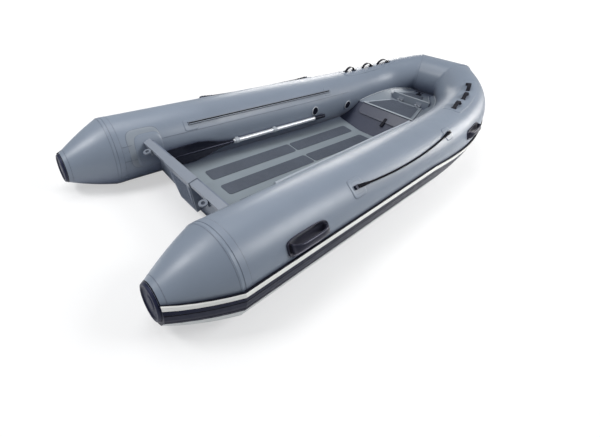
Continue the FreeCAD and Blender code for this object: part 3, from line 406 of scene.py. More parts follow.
MAT = {
    "tube": fabric("tube_fabric", (0.194, 0.230, 0.286)),
    "patch": fabric("patch_fabric", (0.196, 0.232, 0.288)),
    "pale_patch": fabric("patch_fabric_pale", (0.222, 0.252, 0.290)),
    "seam": fabric("seam_tape", (0.188, 0.223, 0.279)),
    "line": plain("glue_line", (0.132, 0.157, 0.202), 0.42, 0.06),
    "rail": fabric("rail_body", (0.185, 0.212, 0.256)),
    "hull": plain("hull_gelcoat", (0.215, 0.248, 0.275), 0.32, 0.04, coat=0.15, painted_shade_darkest=0.60, **GELCOAT),
    "side": plain("locker_top", (0.210, 0.240, 0.275), 0.34, 0.04, coat=0.1, painted_shade_darkest=0.55, **GELCOAT),
    "transom": plain("transom_gelcoat", (0.160, 0.190, 0.242), 0.34, 0.05, coat=0.1, painted_shade_darkest=0.45, **GELCOAT),
    "cap": plain("cap_rail", (0.215, 0.240, 0.285), 0.38, 0.05),
    # Starboard seat rail: a lighter grey than the alike port rail, as painted highlight
    "rail_painted_highlight": plain("trim_grey", (0.33, 0.365, 0.41), 0.40, 0.05),
    # Light edge colour for the beads: painted highlight on the moulded edges
    "rim": plain("edge_painted_highlight", (0.42, 0.46, 0.50), 0.34, 0.05),
    "pale": plain("pale_ring", (0.50, 0.53, 0.57), 0.38, 0.05),
    "eye": plain("painted_eye", (0.155, 0.175, 0.212), 0.44, 0.05, specular=0.35),
    "clip": plain("clip_grey", (0.36, 0.39, 0.43), 0.34, 0.05),
    # Near-black strip: painted shade inside the seat rails' slots
    "slot_painted_shade": plain("rail_slot", (0.0045, 0.0050, 0.0095), 0.60, 0.06, specular=0.1),
    "plate": ribbed("rib_plate", (0.150, 0.180, 0.245), 0.45, "Y", 0.007, 0.0008),
    "pad": checkered("grip_pad", (0.068, 0.080, 0.105), 0.60, 0.009, 0.0009),
    "black": plain("black_rubber", (0.0042, 0.0048, 0.0105), 0.30, 0.12, specular=0.35, tint=RUBBER_TINT),
    "handle": plain("handle_black", (0.0135, 0.0140, 0.0230), 0.32, 0.08, tint=(0.8, 0.8, 1.0)),
    "blade": plain("blade_black", (0.0050, 0.0058, 0.0125), 0.24, 0.10, specular=0.40, tint=RUBBER_TINT),
    "endcap": plain("end_cap_rubber", (0.018, 0.021, 0.044), 0.45, 0.06, specular=0.22, tint=SOFT_TINT),
    "navy": plain("strake_navy", (0.0065, 0.0078, 0.0220), 0.40, 0.08, specular=0.25, tint=SOFT_TINT),
    "dark_line": plain("strake_black", (0.0035, 0.0040, 0.0100), 0.50, 0.08, specular=0.15),
    "white_line": plain("strake_white", (0.78, 0.78, 0.75), 0.42, 0.03),
    "lip": plain("strake_lip", (0.58, 0.60, 0.60), 0.50, 0.03),
    "rope": ribbed("rope_black", (0.0042, 0.0046, 0.0085), 0.85, "DIAGONAL", 0.008, 0.0014, 0.12),
    "webbing": webbing("webbing_black", (0.0065, 0.0070, 0.0125), (0.020, 0.020, 0.028)),
    "aluminium": brushed("aluminium", (0.70, 0.72, 0.75), 0.42),
    "steel": plain("steel", (0.62, 0.64, 0.67), 0.25, 0.03, metallic=1.0, grain=1400.0, blotch=2.0),
    "hinge": plain("hinge_grey", (0.24, 0.265, 0.31), 0.34, 0.04),
    # Locker bulkhead: its dark colour is painted shade on the moulding
    "locker": plain("locker_face_painted_shade", (0.036, 0.043, 0.074), 0.42, 0.05, specular=0.3),
    # Locker lid: painted shade on its upright lip
    "facing_painted_shade": facing_painted_shade("locker_moulding", (0.200, 0.228, 0.262), (0.044, 0.051, 0.083), 0.36),
}

USES = {
    "tube": ["tube_port", "tube_starboard", "tube_bow", "cone_port", "cone_starboard"],
    "hull": ["hull"],
    "side": ["bow_deck", "bow_step"],
    "facing_painted_shade": ["locker_lid"],
    "transom": ["transom"],
    "locker": ["locker_bulkhead"],
    "cap": ["transom_cap", "motor_pad"],
    "plate": ["motor_plate"],
    "rail_painted_highlight": ["seat_rail_starboard"],
    "rail": ["seat_rail_port"],
    "clip": ["oar_clips"],
    "pad": ["floor_pads", "lid_pad", "step_pad"],
    "black": ["valves", "oar_grips", "bow_cleat", "lifeline_anchors"],
    "blade": ["oar_blade_port", "oar_blade_starboard"],
    "webbing": ["grab_loops_port", "grab_loops_starboard"],
    "eye": ["towing_eyes"],
    "steel": ["bow_eye"],
    "hinge": ["lid_hinges"],
}
for key, names in USES.items():
    for name in names:
        mesh = nodes[name].data
        mesh.materials.clear()
        mesh.materials.append(MAT[key])

# Meshes made of rows of points


def row_faces(rows, count, start=0, closed=True):
    """Faces between neighbouring rows; closed rows join end to end."""
    faces = []
    for row in range(rows - 1):
        for step in range(count if closed else count - 1):
            a = start + row * count + step
            b = start + row * count + (step + 1) % count
            faces.append((a, b, b + count, a + count))
    return faces


def end_faces(rows, count):
    """Flat faces over the first and the last row."""
    return [tuple(row * count + step for step in range(count)) for row in (0, rows - 1)]


def add_rows(verts, faces, rows):
    """Adds the skin over closed rows to lists of points and faces."""
    faces.extend(row_faces(len(rows), len(rows[0]), len(verts)))
    for row in rows:
        verts.extend(row)


def flat(rows):
    return [point for row in rows for point in row]


def add_mesh(name, verts, faces, materials, indices=None, body="boat", smooth=True):
    mesh = bpy.data.meshes.new(name)
    mesh.from_pydata([tuple(v) for v in verts], [], faces)
    for key in materials:
        mesh.materials.append(MAT[key])
    if indices:
        for polygon, index in zip(mesh.polygons, indices):
            polygon.material_index = index
    for polygon in mesh.polygons:
        polygon.use_smooth = smooth
    mesh.validate()
    fix = bmesh.new()
    fix.from_mesh(mesh)
    bmesh.ops.recalc_face_normals(fix, faces=fix.faces)
    fix.to_mesh(mesh)
    fix.free()
    piece = bpy.data.objects.new(name, mesh)
    scene.collection.objects.link(piece)
    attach(piece, body)
    return piece


def strip_mesh(name, lines, keys, bands, closed=False):
    """Skin between neighbouring lines of points, one material index per band."""
    count = len(lines[0])
    indices = []
    for index in bands[:len(lines) - 1]:
        indices += [index] * (count if closed else count - 1)
    piece = add_mesh(name, flat(lines), row_faces(len(lines), count, closed=closed), keys, indices)
    return piece


def both(name, lines, keys, bands, closed=False):
    for side, word in SIDES:
        strip_mesh(name + "_" + word, mirrored(lines, side), keys, bands, closed)


# Strake with its stripes, swept round cone, tube and bow

# Arc up from the widest point in metres, stand, and the colour of the strip below
STRAKE_PROFILE = [
    (0.0670, 0.0040, "dark_line"), (0.0664, 0.0140, "dark_line"), (0.0640, 0.0165, "white_line"),
    (0.0586, 0.0195, "white_line"), (0.0480, 0.0195, "white_line"), (0.0430, 0.0195, "white_line"),
    (0.0420, 0.0180, "navy"), (0.0240, 0.0195, "navy"), (0.0226, 0.0178, "dark_line"),
    (0.0200, 0.0178, "dark_line"), (0.0186, 0.0195, "navy"), (-0.0050, 0.0195, "navy"),
    (-0.0230, 0.0195, "navy"), (-0.0244, 0.0178, "dark_line"), (-0.0270, 0.0178, "dark_line"),
    (-0.0284, 0.0195, "navy"), (-0.0440, 0.0195, "navy"), (-0.0450, 0.0175, "lip"),
    (-0.0800, 0.0190, "lip"), (-0.1060, 0.0185, "lip"), (-0.1240, 0.0165, "lip"), (-0.1275, 0.0060, "lip"),
    (-0.1278, 0.0010, "lip"),
]
STRAKE_KEYS = ["dark_line", "white_line", "navy", "lip"]
STRAKE_COUNT = len(STRAKE_PROFILE)
BODY_FOOT = -0.06
CAP_SQUEEZE = 0.62
TURN = math.radians(24)
TURN_SHARE = 0.3
STRAIGHT_STEPS = 12
BEND_STEPS = 72


def turn_of(section):
    """Angle by which the strake sinks below the widest point on the curved stretch."""
    return TURN * min(1.0, (R_TUBE - section[2]) / (R_TUBE - R_BOW) / TURN_SHARE)


def strake_row(section, turn=0.0):
    """Profile on a section; the lower half of the navy body narrows on the cone."""
    row = []
    squeeze = 1.0
    if turn == 0.0:
        full = (min(section[2], R_TUBE) - CAP_R) / (R_TUBE - CAP_R)
        squeeze = CAP_SQUEEZE + (1 - CAP_SQUEEZE) * full
    for arc, stand, colour in STRAKE_PROFILE:
        if BODY_FOOT < arc < 0:
            arc *= squeeze
        row.append(skin(section, arc / section[2] - turn, stand)[0])
    return row


def strake_rows():
    """Profiles along the port side, the last one in the plane of the mitre."""
    rows = [strake_row(cone(share)) for share in (1.0, 0.8, 0.6, 0.4, 0.2, 0.0)]
    for step in range(1, STRAIGHT_STEPS + 1):
        rows.append(strake_row(station(RING_X + (STRAIGHT_END - RING_X) * step / STRAIGHT_STEPS)))
    for step in range(1, BEND_STEPS):
        section = station(STRAIGHT_END + (MITRE.x - STRAIGHT_END) * step / BEND_STEPS)
        rows.append(strake_row(section, turn_of(section)))
    rows = [row for row in rows if all((point - MITRE).dot(MITRE_NORMAL) < 0.0 for point in row)]
    rows.append([on_mitre(arc / R_BOW - TURN, R_BOW + stand) for arc, stand, colour in STRAKE_PROFILE])
    return rows


def build_strake(word, rows):
    faces = row_faces(len(rows), STRAKE_COUNT, closed=False) + end_faces(len(rows), STRAKE_COUNT)
    strips = [STRAKE_KEYS.index(colour) for arc, stand, colour in STRAKE_PROFILE[:-1]]
    indices = strips * (len(rows) - 1) + [STRAKE_KEYS.index("navy")] * 2
    piece = add_mesh("strake_" + word + "_dressed", flat(rows), faces, STRAKE_KEYS, indices, smooth=False)
    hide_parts("strake_" + word)


port_rows = strake_rows()
for side, word in SIDES:
    build_strake(word, mirrored(port_rows, side))
build_strake("bow", [port_rows[-1], [side_of(point, -1) for point in port_rows[-1]]])

# Seam tapes round and along the tubes

TAPE_STEPS = 96
TAPE_EDGE = 0.0002
LINE_EDGE = 0.0001


def ring_band(name, sections, stand, keys, bands):
    """Tape that wraps right round the tube, with its edges let down to the skin."""
    ends = [(sections[0], TAPE_EDGE)] + [(section, stand) for section in sections]
    ends.append((sections[-1], TAPE_EDGE))
    lines = [[skin(section, angle, lift)[0] for angle in angles_round(TAPE_STEPS)] for section, lift in ends]
    both(name, lines, keys, bands, closed=True)


RING_TAPE = [station(x) for x in (-0.155, -0.152, -0.118, -0.115)]
ring_band("ring_seam", RING_TAPE, 0.0011, ["seam", "line"], [1, 1, 0, 1, 1])
ring_band("cone_seam", [cone(0.02), cone(0.028)], 0.0009, ["line"], [0, 0, 0])
ring_band("cap_joint", [cone(0.984), cone(0.998)], 0.0010, ["dark_line"], [0, 0, 0])
ring_band("cap_seam", [cone(0.90), cone(0.908)], 0.0008, ["line"], [0, 0, 0])

LONG_SEAM_HALF = 0.0022
LONG_SEAM_STAND = 0.0010
SEAM_STEPS_PER_METRE = 40


def long_seam(name, start, end, degrees):
    """Thin glued seam that runs along the tube."""
    count = max(8, int((end - start) * SEAM_STEPS_PER_METRE))
    lines = []
    for share, lift in ((-1.0, LINE_EDGE), (-0.7, LONG_SEAM_STAND), (0.7, LONG_SEAM_STAND), (1.0, LINE_EDGE)):
        line = []
        for step in range(count + 1):
            x = start + (end - start) * step / count
            angle = degrees + math.degrees(LONG_SEAM_HALF * share / station(x)[2])
            line.append(on_tube(x, angle, lift)[0])
        lines.append(line)
    both(name, lines, ["line"], [0, 0, 0])


long_seam("inner_seam", -0.115, 2.25, 151.5)
long_seam("lower_seam", -0.115, 0.02, 176.0)

# Tape over the joint between side tube and bow tube

MITRE_TAPE_HALF = 0.014
MITRE_TAPE_STAND = 0.0012
MITRE_LINE = 0.002
mitre_lines = []
for shift, lift in (
    (-MITRE_TAPE_HALF, TAPE_EDGE), (MITRE_LINE - MITRE_TAPE_HALF, MITRE_TAPE_STAND),
    (MITRE_TAPE_HALF - MITRE_LINE, MITRE_TAPE_STAND), (MITRE_TAPE_HALF, TAPE_EDGE),
):
    along = EXIT if shift < 0 else ACROSS
    mitre_lines.append([on_mitre(angle, R_BOW + lift) + along * shift for angle in angles_round(TAPE_STEPS)])
both("mitre_seam", mitre_lines, ["seam", "line"], [1, 0, 1], closed=True)

# Fabric patches and moulded rings on the tubes

# Word, place along the boat, and degrees round the tube
VALVES = (("aft", 1.759, 174.0), ("bow", 2.249, 183.0))
PATCH_STEPS = 72

# Scales of a patch's nested outlines, each with the material index of the band inside it
PATCH_BANDS = [(1.0, 1), (0.965, 0), (0.82, 0), (0.64, 0), (0.48, 0), (0.32, 0), (0.16, 0), (0.01, 0)]
LINED_BANDS = [
    (1.0, 1), (0.955, 0), (0.80, 0), (0.645, 1), (0.61, 0), (0.45, 0), (0.3, 0), (0.15, 0), (0.01, 0),
]
WIDE_BANDS = [(1.0, 1), (0.985, 0)] + [(1.0 - 0.05 * step, 0) for step in range(1, 20)] + [(0.01, 0)]


def rounded_square(count, power):
    """Unit outline: a circle at power 2, and squarer above it."""
    points = []
    for angle in angles_round(count):
        c = math.cos(angle)
        s = math.sin(angle)
        points.append((math.copysign(abs(c) ** (2 / power), c), math.copysign(abs(s) ** (2 / power), s)))
    return points


def skin_patch(name, x, degrees, half_x, half_arc, stand, power, bands=PATCH_BANDS, cloth="patch"):
    """Rounded patch that follows the skin, with its outermost line let down to it."""
    lines = []
    radius = station(x)[2]
    for level, (scale, index) in enumerate(bands):
        lift = LINE_EDGE if level == 0 else stand
        line = []
        for u, v in rounded_square(PATCH_STEPS, power):
            angle = degrees + math.degrees(half_arc * v * scale / radius)
            line.append(on_tube(x + half_x * u * scale, angle, lift)[0])
        lines.append(line)
    both(name, lines, [cloth, "line"], [index for scale, index in bands], closed=True)


skin_patch("transom_patch", 0.052, 160.0, 0.127, 0.142, 0.0011, 4.5, cloth="pale_patch")
skin_patch("transom_patch_inner", 0.078, 166.0, 0.106, 0.125, 0.0021, 4.0)
skin_patch("rail_patch", 0.432, 140.5, 0.058, 0.044, 0.0010, 5.0)
skin_patch("rail_patch_bow", 1.965, 138.0, 0.050, 0.040, 0.0010, 5.0)
skin_patch("anchor_patch_aft", 0.742, 52.9, 0.062, 0.060, 0.0028, 5.0, LINED_BANDS)
skin_patch("anchor_patch_bow", 1.946, 54.5, 0.058, 0.052, 0.0028, 5.0, LINED_BANDS)
skin_patch("loop_patch", 2.672, 92.0, 0.345, 0.078, 0.0014, 6.0, WIDE_BANDS)
for word, x, degrees in VALVES:
    skin_patch("valve_patch_" + word, x, degrees, 0.052, 0.052, 0.0010, 2.0)

VALVE_RING = 0.0365
VALVE_RING_WIRE = 0.0036
VALVE_RING_STAND = 0.004
WIRE_STEPS = 8
VALVE_RING_STEPS = 40


def skin_ring(name, x, degrees):
    """Small moulded ring that lies on the skin round a valve."""
    lines = []
    for step in range(WIRE_STEPS + 1):
        turn = 2 * math.pi * step / WIRE_STEPS
        reach = VALVE_RING + VALVE_RING_WIRE * math.cos(turn)
        stand = VALVE_RING_STAND + VALVE_RING_WIRE * math.sin(turn)
        line = []
        for angle in angles_round(VALVE_RING_STEPS):
            place = degrees + math.degrees(reach * math.sin(angle) / station(x)[2])
            line.append(on_tube(x + reach * math.cos(angle), place, stand)[0])
        lines.append(line)
    both(name, lines, ["pale"], [0] * WIRE_STEPS, closed=True)


for word, x, degrees in VALVES:
    skin_ring("valve_ring_" + word, x, degrees)

# Strip of painted shade along the top of each seat rail, where its slot lies

SLOT_HALF = 0.0058
SLOT_X = 0.418
SLOT_LENGTH = 1.560
SLOT_DEGREES = 138.0
SLOT_STAND = 0.0062
SLOT_STEPS = 60
slot_lines = []
for offset in (-SLOT_HALF, 0.0, SLOT_HALF):
    angle = SLOT_DEGREES + math.degrees(offset / R_TUBE)
    slot_lines.append([
        on_tube(SLOT_X + SLOT_LENGTH * step / SLOT_STEPS, angle, SLOT_STAND)[0]
        for step in range(SLOT_STEPS + 1)
    ])
both("seat_rail_slot", slot_lines, ["slot_painted_shade"], [0, 0])

# Oar shafts with a rolled collar at each end, and the bands of their clips

OAR_X = 0.190
OAR_FRAME = on_tube(OAR_X, -171.0, 0.019)[0]
OAR_STEPS = 32
CLIPS_X = (0.822, 1.236)

# Place on the boat's x axis, and radius
SHAFT = [
    (0.7869, 0.0150), (0.7875, 0.0178), (0.800, 0.0184), (0.812, 0.0184), (0.814, 0.0181), (1.720, 0.0181),
    (1.722, 0.0184), (1.740, 0.0184), (1.7462, 0.0178), (1.7466, 0.0150),
]

# Distance along the oar from the clip's middle, and radius
CLIP_BAND = [
    (-0.0215, 0.0185), (-0.0210, 0.0225), (-0.0150, 0.0235), (0.0150, 0.0235), (0.0210, 0.0225),
    (0.0215, 0.0185),
]


def oar_ring(x, along, radius, side):
    """Ring of points round the oar's axis."""
    centre = OAR_FRAME + AXIS * ((x - OAR_X) / AXIS.x + along)
    return [side_of(centre + spoke(AXIS, angle) * radius, side) for angle in angles_round(OAR_STEPS)]


shaft_verts = []
shaft_faces = []
band_verts = []
band_faces = []
for side, word in SIDES:
    add_rows(shaft_verts, shaft_faces, [oar_ring(x, 0.0, radius, side) for x, radius in SHAFT])
    for x in CLIPS_X:
        add_rows(band_verts, band_faces, [oar_ring(x, along, radius, side) for along, radius in CLIP_BAND])
piece = add_mesh("oar_shafts_dressed", shaft_verts, shaft_faces, ["aluminium"])
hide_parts("oar_shafts")
add_mesh("oar_clip_bands", band_verts, band_faces, ["clip"])

# Moulded end caps with a rim, a groove and a hollow face

# Radius, depth, and the colour of the band inside
CAP_PROFILE = [
    (0.0978, 0.0, "navy"), (0.0972, 0.0040, "endcap"), (0.0930, 0.0120, "endcap"),
    (0.0900, 0.0136, "endcap"), (0.0830, 0.0138, "endcap"), (0.0800, 0.0125, "navy"),
    (0.0785, 0.0085, "navy"), (0.0740, 0.0060, "endcap"), (0.0500, 0.0056, "endcap"),
    (0.0360, 0.0060, "endcap"), (0.0350, 0.0085, "endcap"), (0.0300, 0.0092, "endcap"),
    (0.0010, 0.0095, "endcap"),
]
CAP_KEYS = ["endcap", "navy"]
CAP_STEPS = 72
cap_lines = [
    [CAP - FORWARD * depth + spoke(FORWARD, angle) * radius for angle in angles_round(CAP_STEPS)]
    for radius, depth, colour in CAP_PROFILE
]
cap_bands = [CAP_KEYS.index(colour) for radius, depth, colour in CAP_PROFILE]
for side, word in SIDES:
    piece = strip_mesh(
        "end_cap_" + word + "_dressed", mirrored(cap_lines, side), CAP_KEYS, cap_bands, True
    )
    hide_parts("end_cap_" + word)

# Moulded carry handles: an oval foot with a raised rim and a broad arched grip

# Place along the boat, degrees round the tube, and size
HANDLES = ((0.265, 29.4, 1.0), (2.390, 24.0, 0.86))

# Scale of the foot's nested outlines, and their height over the skin
FOOT = (
    (1.0, 0.0006), (0.995, 0.0085), (0.97, 0.0112), (0.93, 0.0108), (0.89, 0.0050), (0.6, 0.0046),
    (0.3, 0.0046), (0.01, 0.0046),
)
FOOT_HALF_LENGTH = 0.150
FOOT_HALF_WIDTH = 0.048
FOOT_POWER = 4.2
FOOT_STEPS = 64
FOOT_RIM = 0.9
FOOT_RIM_DRAW = 0.4
GRIP_HALF_LENGTH = 0.124
GRIP_FOOT = 0.006
GRIP_RISE = 0.040
GRIP_RISE_LOST = 0.09
GRIP_HALF_WIDTH = 0.0165
GRIP_FLARE = 0.010
GRIP_HALF_THICKNESS = 0.0080
GRIP_POWER = 3.0
GRIP_SIDES = 20
GRIP_STEPS = 48
ARCH_LENGTH_POWER = 0.6
ARCH_RISE_POWER = 0.55
ARCH_END = 0.05


def handle_foot(x, degrees, size):
    radius = station(x)[2]
    rows = []
    for scale, lift in FOOT:
        along = scale if scale < FOOT_RIM else 1 - (1 - scale) * FOOT_RIM_DRAW
        row = []
        for u, v in rounded_square(FOOT_STEPS, FOOT_POWER):
            angle = degrees + math.degrees(FOOT_HALF_WIDTH * size * v * scale / radius)
            row.append(on_tube(x + FOOT_HALF_LENGTH * size * u * along, angle, lift)[0])
        rows.append(row)
    return rows


def handle_grip(x, degrees, size):
    point, normal, direction = on_tube(x, degrees)
    across = normal.cross(direction).normalized()
    rise = GRIP_RISE - GRIP_RISE_LOST * (1 - size)
    rows = []
    for step in range(GRIP_STEPS + 1):
        turn = math.pi * step / GRIP_STEPS
        c = math.cos(turn)
        s = math.sin(turn)
        along = -GRIP_HALF_LENGTH * size * math.copysign(abs(c) ** ARCH_LENGTH_POWER, c)
        height = GRIP_FOOT + rise * abs(s) ** ARCH_RISE_POWER
        run = GRIP_HALF_LENGTH * ARCH_LENGTH_POWER * max(ARCH_END, abs(c)) ** (ARCH_LENGTH_POWER - 1) * s
        climb = GRIP_RISE * ARCH_RISE_POWER * max(ARCH_END, s) ** (ARCH_RISE_POWER - 1) * c
        slope = Vector((run, climb)).normalized()
        out = direction * -slope.y + normal * slope.x
        wide = GRIP_HALF_WIDTH + GRIP_FLARE * abs(c) ** 3
        centre = point + direction * along + normal * height
        rows.append([
            centre + across * (wide * u) + out * (GRIP_HALF_THICKNESS * v)
            for u, v in rounded_square(GRIP_SIDES, GRIP_POWER)
        ])
    return rows


for side, word in SIDES:
    verts = []
    faces = []
    for handle in HANDLES:
        add_rows(verts, faces, mirrored(handle_foot(*handle), side))
        add_rows(verts, faces, mirrored(handle_grip(*handle), side))
    piece = add_mesh("carry_handles_" + word + "_dressed", verts, faces, ["handle"])
    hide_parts("carry_handles_" + word)

# Fine light beads along the moulded edges of the locker, their light colour a painted highlight on those
# edges

BEAD_SIDES = 6
TRACE_STEPS = 160
TRACE = [bend(step / TRACE_STEPS) for step in range(TRACE_STEPS + 1)]


def bead(name, points, radius, body="boat"):
    """Round bead swept along a line of points, in the light edge colour of painted highlight."""
    lines = [[] for turn in range(BEAD_SIDES + 1)]
    for index, point in enumerate(points):
        before = points[max(0, index - 1)]
        after = points[min(len(points) - 1, index + 1)]
        along = (after - before).normalized()
        across = along.cross(Vector((0, 0, 1))).normalized()
        over = across.cross(along).normalized()
        for turn, line in enumerate(lines):
            angle = 2 * math.pi * turn / BEAD_SIDES
            line.append(point + (across * math.cos(angle) + over * math.sin(angle)) * radius)
    faces = row_faces(len(lines), len(points), closed=False)
    piece = add_mesh(name, flat(lines), faces, ["rim"], body=body)


def skin_y(x, z, gap):
    """Half width of the room between the tubes at height z, on the curved stretch."""
    outer = station(x)[0].y

    def clear(y):
        point = Vector((x, y, z))
        return min((point - centre).length - radius for centre, direction, radius in TRACE) > gap

    return halve(outer - 0.9, outer, clear, 22)


DECK = 0.270
DECK_AFT = 2.408
RISER = 2.812
DECK_EDGE_END = 3.02
DECK_EDGE_STEPS = 14
FLANGE_END = 2.860
FLANGE_CLIMB = 0.095
HALF_AFT = skin_y(DECK_AFT, DECK, 0.0) - 0.064
HALF_FWD = skin_y(RISER, DECK, 0.0) - 0.124
LID_SEAT = DECK + 0.0003
LID_TOP = LID_SEAT + 0.012
LID_AFT = DECK_AFT - 0.006
LID_FORE = RISER - 0.026
LID_MIDDLE = 2.60
STEP_TOP = 0.3445
STEP_END = 3.045
STEP_HALF_AFT = 0.198
STEP_HALF_FWD = 0.068
DECK_RIM_OUT = 0.012
LID_RIM_IN = 0.003
STEP_RIM_IN = 0.002
RIM_RADIUS = 0.0026


def lid_half(x):
    return HALF_AFT + (HALF_FWD - HALF_AFT) * (x - DECK_AFT) / (RISER - DECK_AFT)


def step_half(x):
    return STEP_HALF_AFT + (STEP_HALF_FWD - STEP_HALF_AFT) * (x - RISER) / (STEP_END - RISER)


def flange(x):
    """Height of the deck's edge, which climbs towards the bow."""
    share = max(0.0, min(1.0, (x - DECK_AFT) / (FLANGE_END - DECK_AFT)))
    return DECK + FLANGE_CLIMB * share ** 0.8


deck_edge = []
for step in range(DECK_EDGE_STEPS + 1):
    x = DECK_AFT + (DECK_EDGE_END - DECK_AFT) * step / DECK_EDGE_STEPS
    deck_edge.append(Vector((x, skin_y(x, flange(x), 0.004), flange(x) + 0.002)))
deck_rim = [
    Vector((x, lid_half(x) + DECK_RIM_OUT, DECK + 0.0005))
    for x in (DECK_AFT + 0.004, LID_MIDDLE, RISER - 0.022)
]
lid_rim = [Vector((x, lid_half(x) - LID_RIM_IN, LID_TOP)) for x in (LID_AFT, LID_MIDDLE, LID_FORE)]
step_rim = [Vector((x, step_half(x) - STEP_RIM_IN, STEP_TOP)) for x in (RISER + 0.002, 2.93, 3.02)]
for side, word in SIDES:
    bead("deck_edge_" + word, [side_of(point, side) for point in deck_edge], 0.0034)
    bead("deck_rim_" + word, [side_of(point, side) for point in deck_rim], RIM_RADIUS)
    bead("lid_rim_" + word, [side_of(point, side) for point in lid_rim], RIM_RADIUS, "locker_lid_body")
    bead("step_rim_" + word, [side_of(point, side) for point in step_rim], 0.0028)
lid_aft_rim = [Vector((LID_AFT - 0.0045, y, LID_TOP - 0.0015)) for y in (HALF_AFT, 0.0, -HALF_AFT)]
bead("lid_aft_rim", lid_aft_rim, 0.0046, "locker_lid_body")
bead("step_aft_rim", [Vector((RISER + 0.001, y, STEP_TOP)) for y in (0.197, 0.0, -0.197)], 0.0030)

# Small flange in front of the step, with x and z of each row

STEP_FRONT = [(3.026, 0.3440), (3.062, 0.3446), (3.084, 0.3520), (3.104, 0.3740)]
STEP_FRONT_Y = (-0.16, -0.10, -0.05, 0.0, 0.05, 0.10, 0.16)
front_rows = [[Vector((x - abs(y) * 0.10, y, z)) for y in STEP_FRONT_Y] for x, z in STEP_FRONT]
strip_mesh("step_front_flange", front_rows, ["side"], [0, 0, 0])

# Strap latch with a pull at its foot

BULKHEAD_FOOT_X = 2.235
FLOOR_Z = 0.057
LATCH_DROP = 0.054
LATCH_Y = -0.045
LATCH_STAND = 0.0105
LATCH_POWER = 3.5
LATCH_SIDES = 20

# Distance down the strap, half width and half thickness
LATCH = (
    (0.0, 0.0110, 0.0035), (0.002, 0.0140, 0.0045), (0.050, 0.0140, 0.0040), (0.062, 0.0140, 0.0050),
    (0.068, 0.0150, 0.0060), (0.086, 0.0150, 0.0060), (0.089, 0.0125, 0.0040),
)
LEAN = (DECK_AFT - BULKHEAD_FOOT_X) / (DECK - FLOOR_Z)
down = Vector((-LEAN, 0, -1)).normalized()
out = Vector((-1, 0, LEAN)).normalized()
head = Vector((LID_AFT - LATCH_DROP * LEAN, LATCH_Y, LID_SEAT - LATCH_DROP)) + out * LATCH_STAND
latch_outline = rounded_square(LATCH_SIDES, LATCH_POWER)
latch_rows = [
    [head + down * place + Vector((0, wide * u, 0)) + out * (thick * v) for u, v in latch_outline]
    for place, wide, thick in LATCH
]
faces = row_faces(len(LATCH), LATCH_SIDES) + end_faces(len(LATCH), LATCH_SIDES)
piece = add_mesh("lid_latch_dressed", flat(latch_rows), faces, ["dark_line"], body="locker_lid_body")
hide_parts("lid_latch")

# Lifeline ropes with whipped ends

# Place along the boat, and degrees round the tube
LIFELINE = [
    (0.732, 53.4), (0.830, 50.9), (0.970, 48.1), (1.120, 46.2), (1.270, 45.4), (1.420, 45.7), (1.570, 47.2),
    (1.720, 49.7), (1.850, 52.3), (1.950, 54.6),
]
ROPE_STAND = 0.0095
ROPE_RADIUS = 0.0065
SPLICE_LENGTH = 0.110
SPLICE_RADIUS = 0.0128
SPLICE_TAPER = 0.0052
SPLICE_LUMP = 0.0014
LUMP_RATE = 330
STRANDS = 3
STRAND_RELIEF = 0.0008
TWIST_RATE = 60
SPLICE_PITCH = 0.004
SPLICE_SIDES = 10


def splice_ring(point, along, place):
    """Ring of three lobes, turned and swollen by its place along the splice."""
    across = along.cross(Vector((0, 0, 1))).normalized()
    over = across.cross(along)
    swell = SPLICE_LUMP * math.sin(place * LUMP_RATE)
    radius = SPLICE_RADIUS - SPLICE_TAPER * place / SPLICE_LENGTH + swell
    ring = []
    for angle in angles_round(SPLICE_SIDES):
        turned = angle + place * TWIST_RATE
        reach = radius + STRAND_RELIEF * math.cos(STRANDS * angle)
        ring.append(point + (across * math.cos(turned) + over * math.sin(turned)) * reach)
    return ring


def splice(name, line):
    """Whipped, doubled end of the rope, lumpy where its strands are tucked back."""
    rings = []
    run = 0.0
    for before, after in zip(line, line[1:]):
        length = (after - before).length
        parts = max(1, int(length / SPLICE_PITCH))
        for part in range(parts):
            place = run + length * part / parts
            if place <= SPLICE_LENGTH:
                point = before + (after - before) * (part / parts)
                rings.append(splice_ring(point, (after - before).normalized(), place))
        run += length
    faces = row_faces(len(rings), SPLICE_SIDES) + end_faces(len(rings), SPLICE_SIDES)
    piece = add_mesh(name, flat(rings), faces, ["rope"])
    return piece


def rope_curve(name, points):
    curve = bpy.data.curves.new(name, "CURVE")
    curve.dimensions = "3D"
    curve.bevel_depth = ROPE_RADIUS
    curve.bevel_resolution = 4
    curve.use_fill_caps = True
    spline = curve.splines.new("NURBS")
    spline.points.add(len(points) - 1)
    for knot, point in zip(spline.points, points):
        knot.co = (*point, 1)
    spline.order_u = 3
    spline.use_endpoint_u = True
    spline.resolution_u = 10
    curve.materials.append(MAT["rope"])
    return curve


def centreline(curve):
    """Points along the middle of a rope's curve."""
    thin = curve.copy()
    thin.bevel_depth = 0.0
    guide = bpy.data.objects.new("guide", thin)
    line = [v.co.copy() for v in bpy.data.meshes.new_from_object(guide).vertices]
    bpy.data.objects.remove(guide)
    return line


for side, word in SIDES:
    points = [side_of(on_tube(x, angle, ROPE_STAND)[0], side) for x, angle in LIFELINE]
    curve = rope_curve("lifeline_rope_" + word, points)
    rope = bpy.data.objects.new("lifeline_rope_" + word, curve)
    scene.collection.objects.link(rope)
    line = centreline(curve)
    splices = [
        splice("lifeline_splice_aft_" + word, line), splice("lifeline_splice_bow_" + word, line[::-1])
    ]
    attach(rope, "boat")
    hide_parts("lifeline_" + word)

# Floor at the waterline, which fades into a white glow away from the boat

